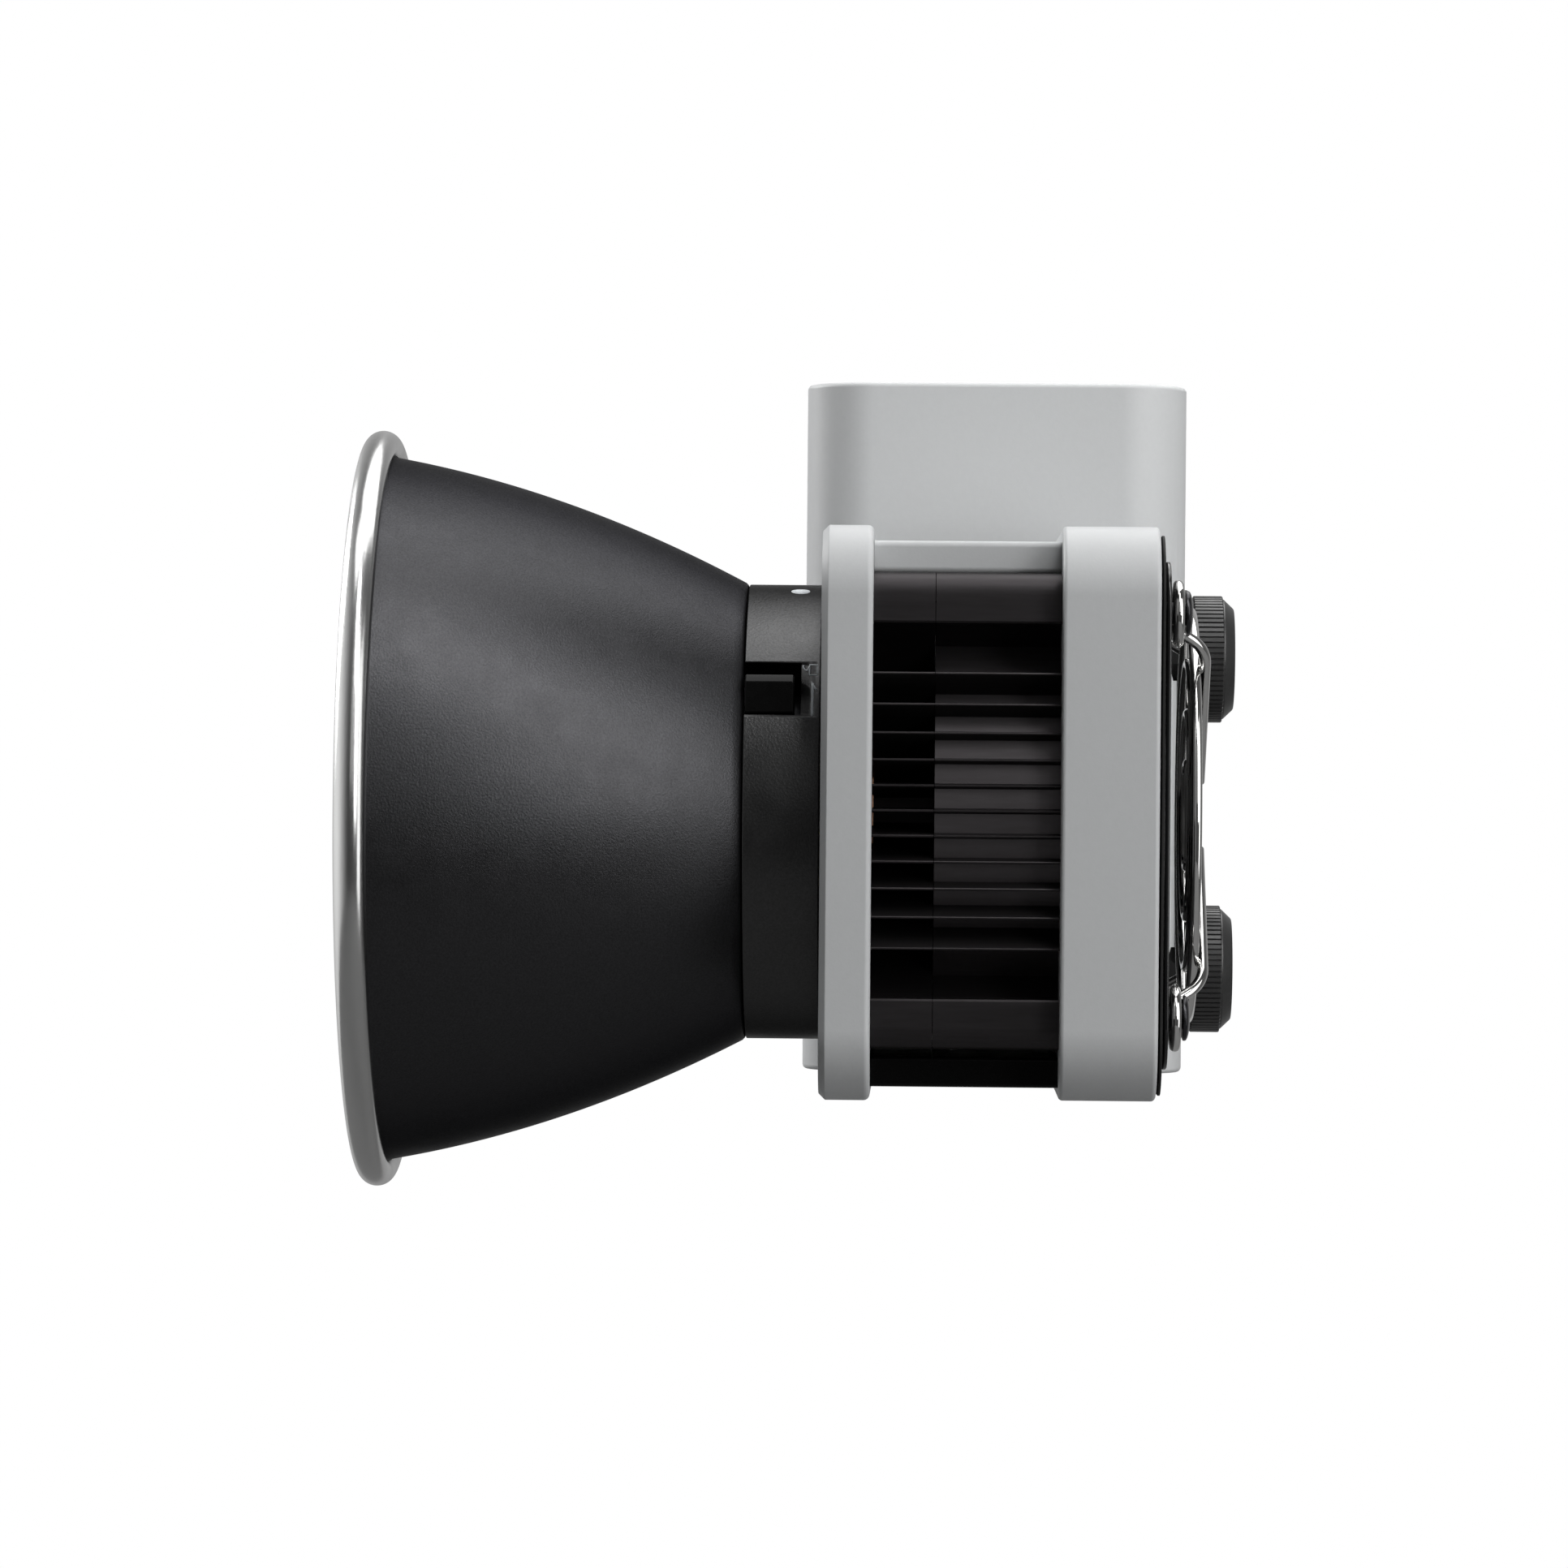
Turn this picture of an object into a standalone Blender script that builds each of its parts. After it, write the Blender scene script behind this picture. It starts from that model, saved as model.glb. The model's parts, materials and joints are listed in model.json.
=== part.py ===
"""Compact COB LED studio light with a bayonet reflector, built piece by piece.

The optical axis runs along Y and the light leaves towards -Y. Z is up, and the
controller block stands on the -X side. The origin is the mouth of the tripod
socket. Lengths in this file are millimetres and become metres when a mesh is made.
"""
import math

import bmesh
import bpy
from mathutils import Matrix, Vector

MM = 0.001
GAP = 0.3

# Optical axis and lamp head
AXIS_Z = 42.0
FRAME_SIZE = 88.0
FRAME_CORNER = 11.0
FRONT_FRAME_Y = (-22.45, -15.1)
BACKPLATE_Y = (-14.8, -14.4)
BACKPLATE_SIZE = (84.0, 73.4)
SINK_FRONT_Y = (-14.1, -5.3)
SINK_REAR_Y = (-5.0, 14.35)
REAR_FRAME_Y = (14.65, 29.25)
GASKET_Y = (29.55, 29.95)
BEZEL_Y = (30.25, 31.0)
FRONT_CHAMFER = 1.1
FRAME_FILLET = 0.7
LIGHT_BORE = 30.0
POCKET_DEPTH = 4.5
POCKET_WALL = 3.5
POCKET_CORNER = 54.0
SIDE_HOLE_RADIUS = 1.7
SIDE_HOLE_OFFSET = 17.0

# Heat sink
FIN_COUNT = 64
FIN_THICKNESS = 0.9
FIN_TIP_THICKNESS = 0.5
FIN_TIP = 39.5
FIN_ROOT_RADIUS = 24.0
FIN_HALF_SPAN = 30.0
BAR_TOP = 37.0
BAR_INNER = 29.0
BAR_CHAMFER = 3.4
DUCT_OUTER = 38.7
DUCT_TOP = 35.9
DUCT_INNER = 34.2
REAR_HUB_RADIUS = 12.0
CORE_FINS = 16
TIE_SPACING = 61.5
TIE_RADIUS = 1.75
TIE_HOLE = 2.25
TIE_HEAD = (3.5, 1.2)
TIE_REACH = 18.5

# Light source
COB_BACK_Y = -14.4
COB_BASE_Y = -17.4
COB_BASE_RADIUS = 28.0
COB_SIZE = 38.0
COB_FRONT_Y = -19.3
HOLDER_RADIUS = 27.5
HOLDER_OPENING = 14.0
HOLDER_FRONT_Y = -21.3
COB_SCREW_X = (-23.4, 23.4)
COB_SCREW_SEAT_Y = -20.4
WINDOW_RADIUS = 22.0
WINDOW_Y = (-24.0, -22.0)
WINDOW_RING_RADIUS = 31.6
WINDOW_RING_Y = (-25.05, -22.75)

# Cover plates above and below the heat sink
PLATE_HALF_WIDTH = 33.0
PLATE_THICKNESS = 4.7
PLATE_Y = (FRONT_FRAME_Y[1] + GAP, REAR_FRAME_Y[0] - GAP)
TRIPOD_BORE = 3.175
TRIPOD_BUSH = 5.5
TRIPOD_FLANGE = 7.0

# Reflector mount
MOUNT_OUTER = 36.05
MOUNT_INNER = 32.0
MOUNT_Y = (-34.35, -22.75)
CLAW_RADIUS = 30.2
CLAW_DEPTH = 2.5
CLAW_ANGLES = (90.0, 210.0, 330.0)
CLAW_SPAN = 34.0
LUG_SPAN = 28.0
NOTCH_ANGLES = (24.6, 39.9)
NOTCH_END_Y = -25.7
LEVER_ANGLES = (24.9, 36.2)
MOUNT_SCREW_ANGLES = (60.0, 180.0, 300.0)
MOUNT_SCREW_HOLE = 1.3

# Reflector
NECK_RADIUS = 36.1
NECK_Y = -34.65
BOWL_FRONT_Y = -90.3
BOWL_FLARE = 29.3
BOWL_CURVE = -9.7
BOWL_WALL = 1.0
BEAD_CENTRE = (57.7, -93.75)
BEAD_SIZE = (2.3, 3.4)
BEAD_ANGLES = (-50.0, 20.0, 90.0, 135.0, 180.0, 225.0)
COLLAR_INNER = 28.0
COLLAR_OUTER = 29.8
COLLAR_END_Y = -25.4
COLLAR_FLANGE = 34.0
RIVET_CIRCLE = 32.0
RIVET_ANGLES = (30.0, 150.0, 270.0)
RIVET_HOLE = 1.6
LUG_REACH = 31.6
LUG_Y = (-31.5, -29.6)
RIVET_SEAT = NECK_Y - 2 * BOWL_WALL - 2 * GAP

# Fan and wire guard
FAN_SIZE = 70.0
FAN_Y = (17.2, 29.1)
FAN_BORE = 32.6
FAN_OPENING = 33.0
HUB_RADIUS = 14.0
BLADE_COUNT = 7
BLADE_TIP = 31.9
BLADE_PITCH = 34.0
BLADE_SWEEP = 9.0
BLADE_HALF_THICKNESS = 0.45
SPINDLE_RADIUS = 2.2
WIRE = 0.875
GUARD_RING_Y = 35.3
GUARD_LEG_Y = 36.8
GUARD_END_Y = 33.2
GUARD_FOOT_Y = 32.2
GUARD_RINGS = (32.2, 24.2, 16.2, 8.2)
EYELET_RADIUS = 4.1
GUARD_KNEE = 34.2
GUARD_BEND = 3.0

# Controller block
BLOCK_X = (-44.3, -72.3)
BLOCK_Y = (-26.65, 36.75)
BLOCK_Z = (-1.2, 113.3)
BLOCK_CORNER = 11.0
BLOCK_FILLET = 0.8
BLOCK_WALL = 2.2
SPLIT_X = -68.6
DIAL_X = -58.3
DIAL_OFFSET = 26.0
PANEL_Y = (35.6, 37.4)
PANEL_HALF_WIDTH = 10.0
PANEL_HALF_HEIGHT = 37.5
DISPLAY_Z = (AXIS_Z - 0.7, AXIS_Z + 11.7)
DISPLAY_HALF_WIDTH = 5.7
BUTTON_Z = AXIS_Z - 8.5
BUTTON_RADIUS = 3.0
BUTTON_FLANGE = 3.6
POST_RADIUS = 3.0
COVER_SCREW_Y = (-18.0, 25.5)
COVER_SCREW_Z = (6.5, 105.0)
COVER_SCREW_SEAT = 2.0
BOARD_X = -63.6
BOARD_THICKNESS = 1.6
SEAT_HALF_WIDTH = 9.4
COLLAR_BOSS = 9.85
INLET_PLACE = (DIAL_X, 12.0)
INLET_RADIUS = 5.6

# Dials
DIAL_RADIUS = 10.5
DIAL_FACE = 8.5
DIAL_Y = (37.7, 43.15, 45.05)
KNURL_COUNT = 36
KNURL_DEPTH = 0.35
SHAFT_RADIUS = 3.0
SHAFT_Y = (29.4, 42.8)
ENCODER_Y = 33.4
ENCODER_BUSH = 3.6

# Sides of round shapes, fewer where a piece repeats or is hidden
HOLE_SIDES = 6
SMALL_SIDES = 8
SCREW_SIDES = 8
HIDDEN_SCREW_SIDES = 6
SHAFT_SIDES = 12

MATERIALS = {
    "grey_shell": ((0.60, 0.61, 0.62), 0.0, 0.45),
    "black_metal": ((0.03, 0.03, 0.032), 0.6, 0.45),
    "black_plastic": ((0.02, 0.02, 0.022), 0.0, 0.4),
    "silver": ((0.80, 0.80, 0.80), 1.0, 0.25),
    "steel": ((0.55, 0.55, 0.56), 1.0, 0.3),
    "copper": ((0.72, 0.42, 0.28), 1.0, 0.35),
    "phosphor": ((0.90, 0.72, 0.20), 0.0, 0.5),
    "ceramic": ((0.85, 0.86, 0.86), 0.0, 0.4),
    "glass": ((0.80, 0.85, 0.86), 0.0, 0.05),
    "board": ((0.03, 0.16, 0.07), 0.0, 0.5),
}


def clear_scene():
    for item in list(bpy.data.objects):
        bpy.data.objects.remove(item, do_unlink=True)


def make_materials():
    made = {}
    for name, (colour, metallic, roughness) in MATERIALS.items():
        material = bpy.data.materials.new(name)
        material.use_nodes = True
        shader = material.node_tree.nodes["Principled BSDF"]
        shader.inputs["Base Color"].default_value = (*colour, 1.0)
        shader.inputs["Metallic"].default_value = metallic
        shader.inputs["Roughness"].default_value = roughness
        made[name] = material
    return made


def polar(radius, degrees):
    """Point (x, z) at an angle seen along the optical axis, from +X up to +Z."""
    angle = math.radians(degrees)
    return radius * math.cos(angle), radius * math.sin(angle)


def finish(bm, name, material, sharp=35.0):
    """Turn a bmesh in millimetres into a named object in metres, shaded smooth."""
    bmesh.ops.remove_doubles(bm, verts=bm.verts, dist=1e-4)
    bmesh.ops.recalc_face_normals(bm, faces=bm.faces)
    bmesh.ops.scale(bm, vec=(MM, MM, MM), verts=bm.verts)
    for face in bm.faces:
        face.smooth = True
    mesh = bpy.data.meshes.new(name)
    bm.to_mesh(mesh)
    bm.free()
    mesh.set_sharp_from_angle(angle=math.radians(sharp))
    item = bpy.data.objects.new(name, mesh)
    bpy.context.scene.collection.objects.link(item)
    if material is not None:
        mesh.materials.append(material)
    return item


def merge(*parts):
    """Join several bmeshes into the first one."""
    base = parts[0]
    for part in parts[1:]:
        mesh = bpy.data.meshes.new("joined")
        part.to_mesh(mesh)
        part.free()
        base.from_mesh(mesh)
        bpy.data.meshes.remove(mesh)
    return base


def moved(bm, x=0.0, y=0.0, z=0.0):
    bmesh.ops.translate(bm, vec=(x, y, z), verts=bm.verts)
    return bm


def turned(bm, degrees, axis="Y"):
    matrix = Matrix.Rotation(math.radians(degrees), 3, axis)
    bmesh.ops.rotate(bm, cent=(0, 0, 0), matrix=matrix, verts=bm.verts)
    return bm


def prism(outline, start, end, axis="Y"):
    """Extrude a closed outline. Along Y it is drawn in X and Z, along Z in X and Y, along X in Y and Z."""
    bm = bmesh.new()
    place = {
        "Y": lambda a, b: (a, start, b),
        "Z": lambda a, b: (a, b, start),
        "X": lambda a, b: (start, a, b),
    }[axis]
    face = bm.faces.new([bm.verts.new(place(a, b)) for a, b in outline])
    grown = bmesh.ops.extrude_face_region(bm, geom=[face])
    tops = [item for item in grown["geom"] if isinstance(item, bmesh.types.BMVert)]
    step = {"X": (end - start, 0, 0), "Y": (0, end - start, 0), "Z": (0, 0, end - start)}[axis]
    bmesh.ops.translate(bm, vec=step, verts=tops)
    bmesh.ops.recalc_face_normals(bm, faces=bm.faces)
    return bm


def rounded_rectangle(x0, x1, z0, z1, radius, steps=8):
    """Closed outline of a rectangle with round corners."""
    points = []
    corners = (
        (x1 - radius, z1 - radius, 0),
        (x0 + radius, z1 - radius, 90),
        (x0 + radius, z0 + radius, 180),
        (x1 - radius, z0 + radius, 270),
    )
    for cx, cz, first in corners:
        for step in range(steps + 1):
            dx, dz = polar(radius, first + 90.0 * step / steps)
            points.append((cx + dx, cz + dz))
    return points


def square(size, radius, steps=4):
    half = size / 2
    return rounded_rectangle(-half, half, -half, half, radius, steps)


def circle(radius, steps=48, cx=0.0, cz=0.0):
    points = []
    for number in range(steps):
        x, z = polar(radius, 360.0 * number / steps)
        points.append((cx + x, cz + z))
    return points


def sector(inner, outer, first, last, steps=7):
    """Outline of a piece of a ring between two angles."""
    angles = [first + (last - first) * i / steps for i in range(steps + 1)]
    return [polar(outer, a) for a in angles] + [polar(inner, a) for a in reversed(angles)]


def lathe(profile, steps=64):
    """Spin a closed profile of (radius, y) points about the Y axis."""
    bm = bmesh.new()
    verts = [bm.verts.new((radius, y, 0)) for radius, y in profile]
    edges = [bm.edges.new((verts[i], verts[(i + 1) % len(verts)])) for i in range(len(verts))]
    bmesh.ops.spin(
        bm,
        geom=verts + edges,
        cent=(0, 0, 0),
        axis=(0, 1, 0),
        angle=math.tau,
        steps=steps,
        use_merge=True,
    )
    bmesh.ops.remove_doubles(bm, verts=bm.verts, dist=1e-4)
    spindle = [edge for edge in bm.edges if edge.is_wire]
    bmesh.ops.delete(bm, geom=spindle, context="EDGES")
    bmesh.ops.recalc_face_normals(bm, faces=bm.faces)
    return bm


def rod(radius, y0, y1, steps=24):
    return lathe([(0, y0), (radius, y0), (radius, y1), (0, y1)], steps)


def bevel_edges(bm, chosen, width, segments):
    edges = [edge for edge in bm.edges if chosen(edge)]
    bmesh.ops.bevel(
        bm,
        geom=edges,
        offset=width,
        offset_type="OFFSET",
        segments=segments,
        profile=0.5,
        affect="EDGES",
        clamp_overlap=True,
    )
    return bm


def edge_at(index, value):
    """Test for edges that lie in the plane where one coordinate has a value."""
    def test(edge):
        return all(abs(vert.co[index] - value) < 1e-3 for vert in edge.verts)
    return test


def boolean(target, tool, operation):
    modifier = target.modifiers.new(operation.lower(), "BOOLEAN")
    modifier.operation = operation
    modifier.solver = "EXACT"
    if isinstance(tool, bpy.types.Collection):
        modifier.operand_type = "COLLECTION"
        modifier.collection = tool
    else:
        modifier.object = tool
    return modifier


def hide_tool(item):
    item.hide_render = True
    item.display_type = "WIRE"
    return item


def cut(target, *parts):
    """Cut one tool, made of separate closed shapes, out of an object."""
    tool = hide_tool(finish(merge(*parts), target.name + "_cutter", None))
    boolean(target, tool, "DIFFERENCE")
    return tool


def fuse(target, *parts):
    """Weld shapes onto an object, all in one group of tools."""
    group = bpy.data.collections.new(target.name + "_welds")
    for number, part in enumerate(parts):
        tool = hide_tool(finish(part, target.name + "_weld_" + str(number), None))
        bpy.context.scene.collection.objects.unlink(tool)
        group.objects.link(tool)
    bpy.context.scene.collection.children.link(group)
    boolean(target, group, "UNION")


def tie_points():
    half = TIE_SPACING / 2
    return [(sx * half, sz * half) for sx in (-1, 1) for sz in (-1, 1)]


def tie_holes(y0, y1, radius=TIE_HOLE):
    return [moved(rod(radius, y0, y1, HOLE_SIDES), x=x, z=z + AXIS_Z) for x, z in tie_points()]


def on_axis(bm):
    return moved(bm, z=AXIS_Z)


def set_origin(item, x, y, z):
    """Put an object's origin on its joint axis without moving its mesh."""
    point = Vector((x, y, z)) * MM
    item.data.transform(Matrix.Translation(-point))
    item.location = point


# Lamp head frames

def frame_pocket():
    """Square with cut corners, hollowed into the front frame's back."""
    reach = FRAME_SIZE / 2 - POCKET_WALL
    slope = POCKET_CORNER - reach
    return [
        (reach, slope), (slope, reach), (-slope, reach), (-reach, slope),
        (-reach, -slope), (-slope, -reach), (slope, -reach), (reach, -slope),
    ]


def build_front_frame(material):
    y0, y1 = FRONT_FRAME_Y
    bm = on_axis(prism(square(FRAME_SIZE, FRAME_CORNER), y0, y1))
    bevel_edges(bm, edge_at(1, y0), FRONT_CHAMFER, 1)
    bevel_edges(bm, edge_at(1, y1), FRAME_FILLET, 2)
    frame = finish(bm, "front_frame", material)
    cut(frame, on_axis(prism(circle(LIGHT_BORE, 30), y0 - 1, y1 - 3)))
    cut(frame, on_axis(prism(frame_pocket(), y1 - POCKET_DEPTH, y1 + 1)))
    screws = []
    for angle in MOUNT_SCREW_ANGLES:
        thread = rod(MOUNT_SCREW_HOLE, y0 - 1, y0 + 2.6, HOLE_SIDES)
        screws.append(on_axis(moved(thread, *screw_place(angle))))
    sides = [side_hole(y, z, FRAME_SIZE / 2 + 1, 41.2) for y, z in side_points() if y < 0]
    cut(frame, *tie_holes(y0 + 3.0, y1 + 1), *screws, *sides)
    return frame


def screw_place(degrees):
    x, z = polar((MOUNT_OUTER + MOUNT_INNER) / 2, degrees)
    return x, 0.0, z


def side_points():
    front = sum(FRONT_FRAME_Y) / 2
    rear = sum(REAR_FRAME_Y) / 2
    return [(y, AXIS_Z + dz) for y in (front, rear) for dz in (-SIDE_HOLE_OFFSET, SIDE_HOLE_OFFSET)]


def side_hole(y, z, outer, inner):
    """Hole along X in the side that faces the controller block."""
    return prism(circle(SIDE_HOLE_RADIUS, HOLE_SIDES, y, z), -outer, -inner, "X")


def build_rear_frame(material):
    y0, y1 = REAR_FRAME_Y
    bm = on_axis(prism(square(FRAME_SIZE, FRAME_CORNER), y0, y1))
    bevel_edges(bm, edge_at(1, y0), FRAME_FILLET, 2)
    bevel_edges(bm, edge_at(1, y1), FRONT_CHAMFER, 2)
    frame = finish(bm, "rear_frame", material)
    cut(frame, on_axis(prism(square(FAN_SIZE + 2 * GAP, 3.0, 2), FAN_Y[0] - GAP, y1 + 1)))
    cut(frame, on_axis(prism(circle(FAN_OPENING, 32), y0 - 1, FAN_Y[0] + 1)))
    sides = [side_hole(y, z, FRAME_SIZE / 2 + 1, 38.0) for y, z in side_points() if y > 0]
    cut(frame, *tie_holes(y0 - 1, FAN_Y[0] + 1), *sides)
    return frame


def build_flat_plate(name, size, corner, span, hole, material, edge=0.0):
    """Thin plate with round corners, a round opening and the four tie screw holes."""
    y0, y1 = span
    x, z = size[0] / 2, size[1] / 2
    bm = on_axis(prism(rounded_rectangle(-x, x, -z, z, corner, 3), y0, y1))
    if edge:
        bevel_edges(bm, edge_at(1, y1), edge, 1)
    plate = finish(bm, name, material)
    cut(plate, on_axis(prism(circle(hole, 28), y0 - 1, y1 + 1)), *tie_holes(y0 - 1, y1 + 1))
    return plate


# Heat sink with radial fins

def envelope(degrees):
    """Distance from the axis to the flat sides that the fin tips lie on."""
    angle = math.radians(degrees)
    across = abs(math.cos(angle)) or 1e-9
    upward = abs(math.sin(angle)) or 1e-9
    return min(FIN_TIP / across, BAR_TOP / upward)


def duct_radius(degrees):
    """Outer radius of the duct wall: round at the sides, flat above and below."""
    upward = abs(math.sin(math.radians(degrees))) or 1e-9
    return min(DUCT_OUTER, DUCT_TOP / upward)


def core_radius(degrees):
    """Radius of the front section's solid core, the same all round."""
    return FIN_ROOT_RADIUS


def fin_angles():
    pitch = 360.0 / FIN_COUNT
    kept = []
    for number in range(FIN_COUNT):
        angle = number * pitch
        side = (angle + 45.0) % 90.0 - 45.0
        if abs(side) <= FIN_HALF_SPAN:
            kept.append(angle)
    return kept


def fin_points(degrees, root):
    """Four outline points of one tapered fin whose flat tip lies on the envelope."""
    ux, uz = polar(1.0, degrees)
    half = FIN_THICKNESS / 2
    thin = FIN_TIP_THICKNESS / 2
    tip = envelope(degrees)
    base = math.sqrt(root * root - half * half)
    return [
        (base * ux + half * uz, base * uz - half * ux),
        (tip * ux + thin * uz, tip * uz - thin * ux),
        (tip * ux - thin * uz, tip * uz + thin * ux),
        (base * ux - half * uz, base * uz + half * ux),
    ]


def bar_points(quadrant, root):
    """Outline of one corner bar: a web from the core that ends in a chamfered block."""
    reach = FIN_TIP
    top = BAR_TOP
    web = 2.0
    points = [
        (root * 0.7071 + web, root * 0.7071 - web),
        (BAR_INNER + 2 * web - 1.5, BAR_INNER - 1.5),
        (reach - 0.8, BAR_INNER - 1.5),
        (reach, BAR_INNER - 0.7),
        (reach, top - BAR_CHAMFER),
        (reach - 0.5, top - BAR_CHAMFER + 1.0),
        (reach - BAR_CHAMFER + 0.4, top - 0.5),
        (reach - BAR_CHAMFER - 0.8, top),
        (BAR_INNER - 1.5, top),
        (BAR_INNER - 1.5, BAR_INNER + 2 * web - 1.5),
        (root * 0.7071 - web, root * 0.7071 + web),
    ]
    sx = 1 if quadrant in (0, 3) else -1
    sz = 1 if quadrant in (0, 1) else -1
    placed = [(sx * x, sz * z) for x, z in points]
    return placed if sx * sz > 0 else placed[::-1]


def sink_outline(root):
    """Star outline round the core, whose radius is root(degrees), and out along each fin and corner bar."""
    shapes = {angle: fin_points(angle, root(angle)) for angle in fin_angles()}
    for quadrant in range(4):
        angle = 45.0 + 90.0 * quadrant
        shapes[angle] = bar_points(quadrant, root(angle))
    return [point for angle in sorted(shapes) for point in shapes[angle]]


def star_outline(root, reach, width, count, first=0.0, arc_steps=0):
    """Outline of a round core with straight arms, closed by arcs between the arms."""
    points = []
    half = width / 2
    base = math.sqrt(root ** 2 - half * half)
    edge = math.degrees(math.asin(half / root))
    for number in range(count):
        angle = first + 360.0 * number / count
        ux, uz = polar(1.0, angle)
        for along, across in ((base, half), (reach, half), (reach, -half), (base, -half)):
            points.append((along * ux + across * uz, along * uz - across * ux))
        room = 360.0 / count - 2 * edge
        for step in range(1, arc_steps):
            points.append(polar(root, angle + edge + room * step / arc_steps))
    return points


def build_heat_sink_front(material):
    y0, y1 = SINK_FRONT_Y
    bm = on_axis(prism(sink_outline(core_radius), y0, y1))
    sink = finish(bm, "heat_sink_front", material, 25.0)
    cut(sink, *tie_holes(y0 - 1, y1 + 1))
    return sink


def build_heat_sink_rear(material):
    """Fins inside a round air duct, with the fin edges left as shallow ribs outside it."""
    y0, y1 = SINK_REAR_Y
    bm = on_axis(prism(sink_outline(duct_radius), y0, y1))
    sink = finish(bm, "heat_sink_rear", material, 25.0)
    cut(sink, on_axis(prism(circle(DUCT_INNER, CORE_FINS * 2), y0 - 1, y1 + 1)))
    core = star_outline(REAR_HUB_RADIUS, DUCT_INNER + 0.8, FIN_THICKNESS, CORE_FINS, 180.0 / CORE_FINS)
    fuse(sink, on_axis(prism(core, y0, y1)))
    cut(sink, *tie_holes(y0 - 1, y1 + 1))
    return sink


# Cover plates and tripod socket

def build_top_plate(material):
    low = AXIS_Z + BAR_TOP + GAP
    outline = rounded_rectangle(-PLATE_HALF_WIDTH, PLATE_HALF_WIDTH, low, low + PLATE_THICKNESS, 1.0, 3)
    return finish(prism(outline, *PLATE_Y), "top_plate", material)


def build_bottom_plate(material):
    outline = rounded_rectangle(-PLATE_HALF_WIDTH, PLATE_HALF_WIDTH, 0.0, PLATE_THICKNESS, 0.6, 2)
    plate = finish(prism(outline, *PLATE_Y), "bottom_plate", material)
    bush = prism(circle(TRIPOD_BUSH + GAP, 20), -1, PLATE_THICKNESS + 1, "Z")
    flange = prism(circle(TRIPOD_FLANGE + GAP, 20), PLATE_THICKNESS - 1.5, PLATE_THICKNESS + 1, "Z")
    cut(plate, bush)
    cut(plate, flange)
    return plate


def build_tripod_bush(material):
    """Steel bush with a flange that bears on the plate's inner face."""
    top = PLATE_THICKNESS
    profile = [
        (TRIPOD_BORE, 0.0), (TRIPOD_BUSH, 0.0), (TRIPOD_BUSH, top - 1.2),
        (TRIPOD_FLANGE, top - 1.2), (TRIPOD_FLANGE, top), (TRIPOD_BORE, top),
    ]
    bm = turned(lathe(profile, 20), 90.0, "X")
    return finish(bm, "tripod_bush", material)


# Light source

def build_cob_base(material):
    return finish(on_axis(rod(COB_BASE_RADIUS, COB_BASE_Y, COB_BACK_Y, 28)), "cob_base", material)


def build_cob_substrate(material):
    outline = square(COB_SIZE, 1.0, 2)
    return finish(on_axis(prism(outline, COB_FRONT_Y, COB_BASE_Y - GAP)), "cob_substrate", material)


def build_cob_emitter(material):
    """Domed phosphor field inside its silicone dam."""
    back = COB_FRONT_Y - 0.2
    profile = [
        (0, back - 1.0), (10.5, back - 0.6), (11.6, back - 1.0),
        (12.4, back - 0.8), (12.6, back), (0, back),
    ]
    return finish(on_axis(lathe(profile, 18)), "cob_emitter", material)


def build_cob_holder(material):
    """Ring that clamps the substrate and guides the light out through its cone."""
    back = COB_BASE_Y - GAP
    profile = [
        (HOLDER_OPENING, back - 2.1), (HOLDER_OPENING + 1.2, HOLDER_FRONT_Y),
        (HOLDER_RADIUS, HOLDER_FRONT_Y), (HOLDER_RADIUS, back), (HOLDER_OPENING, back),
    ]
    holder = finish(on_axis(lathe(profile, 24)), "cob_holder", material)
    cut(holder, on_axis(prism(square(COB_SIZE + 2 * GAP, 1.2, 2), COB_FRONT_Y - GAP, back + 1)))
    front = HOLDER_FRONT_Y - 1
    holes = [on_axis(moved(rod(1.6, front, back + 1, HOLE_SIDES), x=x)) for x in COB_SCREW_X]
    sinks = [on_axis(moved(rod(2.7, front, COB_SCREW_SEAT_Y, SMALL_SIDES), x=x)) for x in COB_SCREW_X]
    cut(holder, *holes)
    cut(holder, *sinks)
    return holder


def build_cob_screws(material):
    places = [(x, COB_SCREW_SEAT_Y - GAP, AXIS_Z) for x in COB_SCREW_X]
    first = screw("cob_screw", (2.3, 1.1), (1.3, 3.0), material, HIDDEN_SCREW_SIDES)
    place_copies(first, places, 180.0)


def bake(item):
    """Apply an object's modifiers, so that copies can share its finished mesh."""
    graph = bpy.context.evaluated_depsgraph_get()
    mesh = bpy.data.meshes.new_from_object(item.evaluated_get(graph))
    tools = [modifier.object for modifier in item.modifiers]
    item.modifiers.clear()
    item.data = mesh
    for tool in tools:
        bpy.data.objects.remove(tool, do_unlink=True)
    return item


def screw(name, head, shank, material, sides=SCREW_SIDES):
    """Socket head screw along Y: head (radius, height) towards +Y, shank (radius, length) towards -Y."""
    head_radius, height = head
    radius, length = shank
    profile = [
        (0, height), (head_radius * 0.85, height), (head_radius, 0),
        (radius, 0), (radius, -length), (0, -length),
    ]
    item = finish(lathe(profile, sides), name, material)
    cut(item, prism(circle(head_radius * 0.45, 6), height * 0.45, height + 1))
    return bake(item)


def place_copies(item, places, turn=0.0):
    """Put the first object and its copies at their places, turned about Z, with one shared mesh."""
    base = item.name
    for number, (x, y, z) in enumerate(places, start=1):
        copy = item if number == 1 else bpy.data.objects.new(base, item.data)
        if number > 1:
            bpy.context.scene.collection.objects.link(copy)
        copy.name = base + "_" + str(number)
        copy.location = Vector((x, y, z)) * MM
        copy.rotation_euler = (0, 0, math.radians(turn))


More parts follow.
